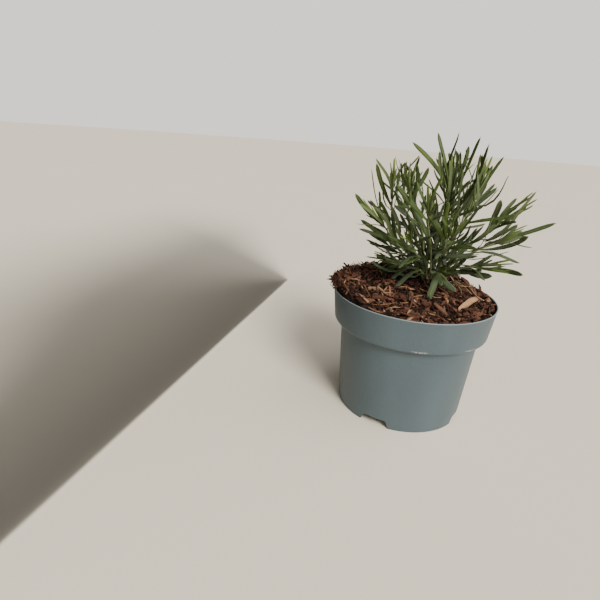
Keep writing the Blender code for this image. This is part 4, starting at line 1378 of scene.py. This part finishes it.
def leaf_plans(index, shoot, route):
    """A shoot's leaves: the longest ones, then the pairs up the stem."""
    rng = random.Random(SEED + 7 * index)
    plans = []
    for share, tip, width, curl, turn in LONG_LEAVES.get(shoot.name, ()):
        stem, heading = place_on(route, share)
        shape = (width * MM, math.radians(curl), math.radians(turn))
        plans.append((stem, in_metres(tip), heading, *shape, LONG_STRAY, share))
    phase = rng.uniform(0.0, math.pi)
    for pair in range(shoot.pairs):
        spread = (pair / (shoot.pairs - 1)) ** LEAF_PAIR_CROWDING
        share = LEAF_PAIRS_FROM + (LEAF_PAIRS_TO - LEAF_PAIRS_FROM) * spread
        stem, heading = place_on(route, share)
        across = heading.orthogonal().normalized()
        for half in range(2):
            azimuth = phase + pair * LEAF_PAIR_TURN + half * math.pi + rng.uniform(-0.25, 0.25)
            outward = Quaternion(heading, azimuth) @ across
            splay = math.radians(rng.uniform(*LEAF_SPLAY) - LEAF_SPLAY_LOSS * share)
            chord = leaning_from(heading, outward, splay)
            shorter = 1.0 - LEAF_REACH_LOSS * eased(share, 0.6, 1.0)
            reach = shoot.length * MM * rng.uniform(*LEAF_REACH) * shorter
            curl = rng.choice((-1.0, 1.0)) * math.radians(rng.uniform(*LEAF_CURL))
            turn = math.radians(rng.uniform(-LEAF_TURN, LEAF_TURN))
            width = shoot.width * MM * rng.uniform(*LEAF_WIDTHS)
            plans.append((stem, stem + chord * reach, heading, width, curl, turn, PAIRED_STRAY, share))
    rooted = []
    for stem, tip, heading, *rest in plans:
        away = tip - stem
        outward = (away - heading * away.dot(heading)).normalized()
        rooted.append(LeafPlan(stem + outward * LEAF_ROOT_OUT, tip, heading, *rest))
    return rooted


def main_leaves(index, plans, obstacles):
    """The leaves that are clear of their neighbours; a leaf that isn't is moved a little, or left out."""
    made = []
    for number, plan in enumerate(plans):
        rng = random.Random(SEED + 1000 * index + number)
        paired = plan.stray == PAIRED_STRAY
        for attempt in range(LEAF_TRIES):
            loose = plan.stray * attempt / LEAF_TRY_STEPS
            moved = plan.tip + Vector([rng.uniform(-loose, loose) for _ in range(3)])
            if not within_bounds(moved, paired):
                continue
            leaf = Leaf(plan.root, moved, plan.heading, plan.width, plan.curl, plan.turn, share=plan.share)
            if obstacles.overlap(BVHTree.FromPolygons(*leaf.solid(1.5 * GAP))):
                continue
            if paired:
                leaf.slim = 1.0 - YOUNG_LEAF_LOSS * eased(plan.share, 0.35, 0.85)
            made.append(leaf)
            break
    return made


def axil_leaf(rng, route, leaf):
    """A slender leaf in the axil of a main one."""
    root, heading = place_on(route, leaf.share)
    outward = (leaf.along - heading * leaf.along.dot(heading)).normalized()
    outward = Quaternion(heading, rng.uniform(-0.8, 0.8)) @ outward
    chord = leaning_from(heading, outward, math.radians(rng.uniform(8.0, 36.0)))
    reach = rng.uniform(0.016, 0.033)
    width = 0.0010 + reach * rng.uniform(0.02, 0.05)
    age = 0.10 + 0.45 * (1.0 - leaf.share) + rng.uniform(-0.1, 0.15)
    curl = rng.uniform(-0.7, 0.5)
    turn = rng.uniform(-0.8, 0.8)
    return Leaf(root, root + chord * reach, heading, width, curl, turn, max(0.0, age))


def base_leaves(rng, route):
    """Older small leaves round the foot of a stem."""
    made = []
    for number in range(BASE_LEAVES):
        root, heading = place_on(route, 0.05 + 0.09 * number)
        outward = Quaternion(heading, number * SPIRAL + rng.uniform(-0.5, 0.5))
        outward = outward @ heading.orthogonal().normalized()
        chord = leaning_from(heading, outward, math.radians(rng.uniform(16.0, 50.0)))
        if root.z + chord.z * 0.02 < CROWN_HIGH.z:
            continue
        shape = (rng.uniform(0.0020, 0.0034), rng.uniform(-0.9, 0.7), rng.uniform(-0.8, 0.8))
        tip = root + chord * rng.uniform(0.018, 0.033)
        made.append(Leaf(root, tip, heading, *shape, rng.uniform(0.4, 1.0)))
    return made


def apex_leaves(rng, route):
    """The newest leaves, close together at a shoot's tip."""
    made = []
    apex, heading = place_on(route, 1.0)
    across = heading.orthogonal().normalized()
    for number in range(APEX_LEAVES):
        outward = Quaternion(heading, number * SPIRAL + rng.uniform(-0.3, 0.3)) @ across
        chord = leaning_from(heading, outward, math.radians(rng.uniform(3.0, 20.0)))
        reach = rng.uniform(0.016, 0.031)
        root = apex - heading * rng.uniform(0.0, 0.006)
        shape = (rng.uniform(0.0014, 0.0024), rng.uniform(-0.5, 0.4), rng.uniform(-0.8, 0.8))
        made.append(Leaf(root, root + chord * reach, heading, *shape, rng.uniform(0.0, 0.18)))
    return made


def small_leaves(route, mains, rng, count):
    """The leaves that only the finished plant has: in the axils, round the foot and at the apex."""
    small = []
    for leaf in mains:
        bare = rng.random() <= AXIL_BARE + AXIL_BARE_GAIN * leaf.share
        small.extend(axil_leaf(rng, route, leaf) for _ in range(0 if bare else count))
    small += base_leaves(rng, route)
    small += apex_leaves(rng, route)
    for leaf in small:
        leaf.hook = rng.uniform(-0.05, 0.05)
    return small


class LAVENDER_OT_crown(bpy.types.Operator):
    """Model the woody crown"""

    bl_idname = "lavender.crown"
    bl_label = "Woody Crown"

    def execute(self, context):
        work = cad_copy("woody_crown")
        join_flat_faces(work)
        bmesh.ops.triangulate(work, faces=work.faces)
        bmesh.ops.subdivide_edges(work, edges=work.edges, cuts=3, use_grid_fill=True)
        bmesh.ops.smooth_vert(
            work, verts=work.verts, factor=0.5, use_axis_x=True, use_axis_y=True, use_axis_z=True)
        work.normal_update()
        moves = []
        for vert in work.verts:
            knots = noise.noise(vert.co * KNOT_SCALE)
            moves.append(vert.normal * (KNOT_HEIGHT * knots))
        for vert, move in zip(work.verts, moves):
            vert.co += move
        crown = piece_of(work, "crown_stub", [crown_wood()], angle=60.0)
        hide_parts("woody_crown")
        return {"FINISHED"}


class LAVENDER_OT_shoots(bpy.types.Operator):
    """Grow the leafy shoots"""

    bl_idname = "lavender.shoots"
    bl_label = "Leafy Shoots"

    def execute(self, context):
        plant = context.scene.lavender_plant
        finishes = [leaf_skin(plant), stem_skin()]
        large = leaf_blank("leaf_blank", 7, 4, plant.leaf_share)
        small = leaf_blank("small_leaf_blank", 5, 2, plant.leaf_share)
        feet = stem_feet()
        routes = []
        for foot, shoot in zip(feet, SHOOTS):
            routes.append(smooth_route([foot] + [in_metres(point) for point in shoot.guides], STEM_POINTS))
        static = [cad_solid(node) for node in ("pot", "mulch_bed", "woody_crown", "dry_stalk", *chip_nodes())]
        stems = [self.stem_solid(route) for route in routes]
        grown = []
        for index, shoot in enumerate(SHOOTS):
            others = [solid for number, solid in enumerate(stems) if number != index]
            plans = leaf_plans(index, shoot, routes[index])
            mains = main_leaves(index, plans, tree_of(static + others + grown))
            grown.extend(leaf.solid(0.0) for leaf in mains)
            rng = random.Random(SEED * 3 + index)
            work = bmesh.new()
            age_layer = work.verts.layers.float.new("leaf_age")
            share_layer = work.verts.layers.float.new("stem_share")
            work.loops.layers.uv.new("leaf_uv")
            self.stem(work, feet[index], shoot, plant.stem_radius, share_layer)
            for leaf in mains:
                self.settle(leaf, shoot, plant, rng)
                leaf.add_to(work, large, age_layer)
            for leaf in small_leaves(routes[index], mains, rng, plant.axil_leaves):
                leaf.add_to(work, small, age_layer)
            grown_shoot = piece_of(work, shoot.name + "_leafy", finishes, angle=70.0)
            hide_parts(shoot.name)
        return {"FINISHED"}

    def stem_solid(self, route):
        """A stem as in the solids, for finding collisions."""
        work = bmesh.new()
        last = STEM_POINTS - 1
        sweep(work, route, [STEM_FOOT - STEM_LOSS * number / last for number in range(STEM_POINTS)], 4)
        work.verts.index_update()
        points = [vert.co.copy() for vert in work.verts]
        faces = [tuple(vert.index for vert in face.verts) for face in work.faces]
        work.free()
        return points, faces

    def stem(self, work, foot, shoot, radius, share_layer):
        """Add a shoot's stem, which starts inside the crown."""
        inner = CROWN_PLACE + Vector((0, 0, CROWN_HIGH.z - STEM_DEPTH))
        guides = [foot.lerp(inner, 0.45), foot] + [in_metres(point) for point in shoot.guides]
        line = [PLANTING @ point for point in smooth_route(guides, FINE_STEM_POINTS)]
        last = FINE_STEM_POINTS - 1
        radii = [radius * (1.0 - 0.5 * number / last) for number in range(FINE_STEM_POINTS)]
        sweep(work, line, radii, 8, share_layer)
        for face in work.faces:
            face.material_index = 1

    def settle(self, leaf, shoot, plant, rng):
        """Give a main leaf its age, its twist and its own width."""
        basal = "basal" in shoot.name
        leaf.age = held(1.02 - 0.62 * leaf.share + rng.uniform(-0.2, 0.2), 0.25)
        if basal or "low" in shoot.name:
            leaf.age = 0.5 + 0.5 * leaf.age
        leaf.twist = rng.uniform(-0.5, 0.5)
        leaf.hook = math.copysign(rng.uniform(0.06, 0.20), leaf.curl)
        leaf.sway = rng.uniform(-0.06, 0.06)
        leaf.slim *= plant.slimness * rng.uniform(0.90, 1.12) * (BASAL_WIDTH if basal else 1.0)


# ------------------------------------------------------------------------------------------- stage

class LAVENDER_OT_stage(bpy.types.Operator):
    """Set the floor, the soft lights and the camera"""

    bl_idname = "lavender.stage"
    bl_label = "Stage"

    def execute(self, context):
        stage = context.scene.lavender_stage
        self.floor(stage)
        self.card()
        self.sky(context, stage)
        self.sun("key_sun", (0.50, -0.62, 0.62), stage.key, 24.0, SUN_COLOR)
        self.sun("fill_sun", (0.85, -0.40, 0.45), stage.fill, 130.0, FILL_COLOR)
        self.camera(context, stage)
        return {"FINISHED"}

    def floor(self, stage):
        """The pale floor."""
        work = bmesh.new()
        bmesh.ops.create_circle(work, cap_ends=True, segments=96, radius=12.0)
        floor = object_of(mesh_of(work, "floor"), "floor")
        finish = Finish("floor_paint", 0.8)
        cloud = finish.noise(3.0, 3.0, 0.5)
        pale = Vector(stage.floor_color)
        floor.data.materials.append(finish.surface(finish.mix(cloud, tuple(pale * 0.97), tuple(pale * 1.02))))

    def card(self):
        """A dark card beside the pot's left side, which shades it and which the camera doesn't see."""
        work = bmesh.new()
        bmesh.ops.create_grid(work, x_segments=1, y_segments=1, size=0.5)
        upright = Matrix.Translation(CARD_PLACE) @ Matrix.Rotation(math.pi / 2, 4, "Y")
        turn = PLANTING @ upright @ Matrix.Diagonal((*CARD_SIZE, 1.0, 1.0))
        bmesh.ops.transform(work, verts=work.verts, matrix=turn)
        card = object_of(mesh_of(work, "shade_card"), "shade_card")
        finish = Finish("card_paint", 1.0)
        color = finish.mix(finish.noise(4.0), (0.02, 0.02, 0.02), (0.03, 0.03, 0.03))
        card.data.materials.append(finish.surface(color))
        card.visible_camera = False

    def sky(self, context, stage):
        """A soft sky that lights the pot, and a brighter one that the camera sees behind it."""
        world = bpy.data.worlds.new("soft_sky")
        world.use_nodes = True
        nodes = world.node_tree.nodes
        links = world.node_tree.links
        sky = nodes["Background"]
        sky.inputs["Color"].default_value = SKY_COLOR
        sky.inputs["Strength"].default_value = stage.sky
        seen = nodes.new("ShaderNodeBackground")
        seen.inputs["Color"].default_value = BACKDROP_COLOR
        seen.inputs["Strength"].default_value = stage.backdrop
        ray = nodes.new("ShaderNodeLightPath")
        choice = nodes.new("ShaderNodeMixShader")
        links.new(ray.outputs["Is Camera Ray"], choice.inputs[0])
        links.new(sky.outputs[0], choice.inputs[1])
        links.new(seen.outputs[0], choice.inputs[2])
        links.new(choice.outputs[0], nodes["World Output"].inputs["Surface"])
        context.scene.world = world

    def sun(self, name, place, power, spread, color):
        """A soft sun that shines from a place towards the pot."""
        data = bpy.data.lights.new(name, "SUN")
        data.energy = power
        data.angle = math.radians(spread)
        data.color = color
        obj = object_of(data, name)
        obj.location = PLANTING @ Vector(place)
        obj.rotation_euler = (-obj.location).to_track_quat("-Z", "Y").to_euler()

    def camera(self, context, stage):
        """The camera, which looks down and past the pot's left side."""
        level = Vector((math.cos(stage.pan), math.sin(stage.pan), 0.0))
        ahead = Vector((-math.sin(stage.pan), math.cos(stage.pan), 0.0))
        view = ahead * math.cos(stage.pitch) - UP * math.sin(stage.pitch)
        upward = level.cross(view)
        right = level * math.cos(stage.roll) + upward * math.sin(stage.roll)
        up = upward * math.cos(stage.roll) - level * math.sin(stage.roll)
        turn = Matrix((right, up, -view)).transposed().to_4x4()
        data = bpy.data.cameras.new("camera")
        data.lens = stage.lens
        data.sensor_width = 36.0
        data.clip_start = 0.01
        obj = object_of(data, "camera")
        obj.matrix_world = PLANTING @ Matrix.Translation((0.0, -stage.distance, stage.height)) @ turn
        context.scene.camera = obj


# -------------------------------------------------------------------------------------------- panel

class LAVENDER_PT_panel(bpy.types.Panel):
    """Lists the lavender's pieces"""

    bl_idname = "LAVENDER_PT_panel"
    bl_label = "Potted Lavender"
    bl_space_type = "VIEW_3D"
    bl_region_type = "UI"
    bl_category = "Lavender"

    def draw(self, context):
        layout = self.layout
        for name, group in SETTINGS.items():
            box = layout.box()
            box.label(text=group.__doc__)
            settings = getattr(context.scene, name)
            for prop in group.__annotations__:
                box.prop(settings, prop)
        for operator in OPERATORS:
            layout.operator(operator.bl_idname)


SETTINGS = {
    "lavender_pot": PotSettings,
    "lavender_mulch": MulchSettings,
    "lavender_plant": PlantSettings,
    "lavender_stage": StageSettings,
}
OPERATORS = (
    LAVENDER_OT_stage,
    LAVENDER_OT_pot,
    LAVENDER_OT_mulch,
    LAVENDER_OT_chips,
    LAVENDER_OT_straw,
    LAVENDER_OT_crown,
    LAVENDER_OT_shoots,
)
CLASSES = (*SETTINGS.values(), *OPERATORS, LAVENDER_PT_panel)


def register():
    """Register the classes and the scene's settings."""
    for cls in CLASSES:
        bpy.utils.register_class(cls)
    for name, group in SETTINGS.items():
        setattr(bpy.types.Scene, name, bpy.props.PointerProperty(type=group))


def unregister():
    """Remove what register added."""
    for name in SETTINGS:
        delattr(bpy.types.Scene, name)
    for cls in reversed(CLASSES):
        bpy.utils.unregister_class(cls)


def main():
    """Build everything."""
    register()
    for operator in OPERATORS:
        group, name = operator.bl_idname.split(".")
        getattr(getattr(bpy.ops, group), name)()


if __name__ == "__main__":
    main()
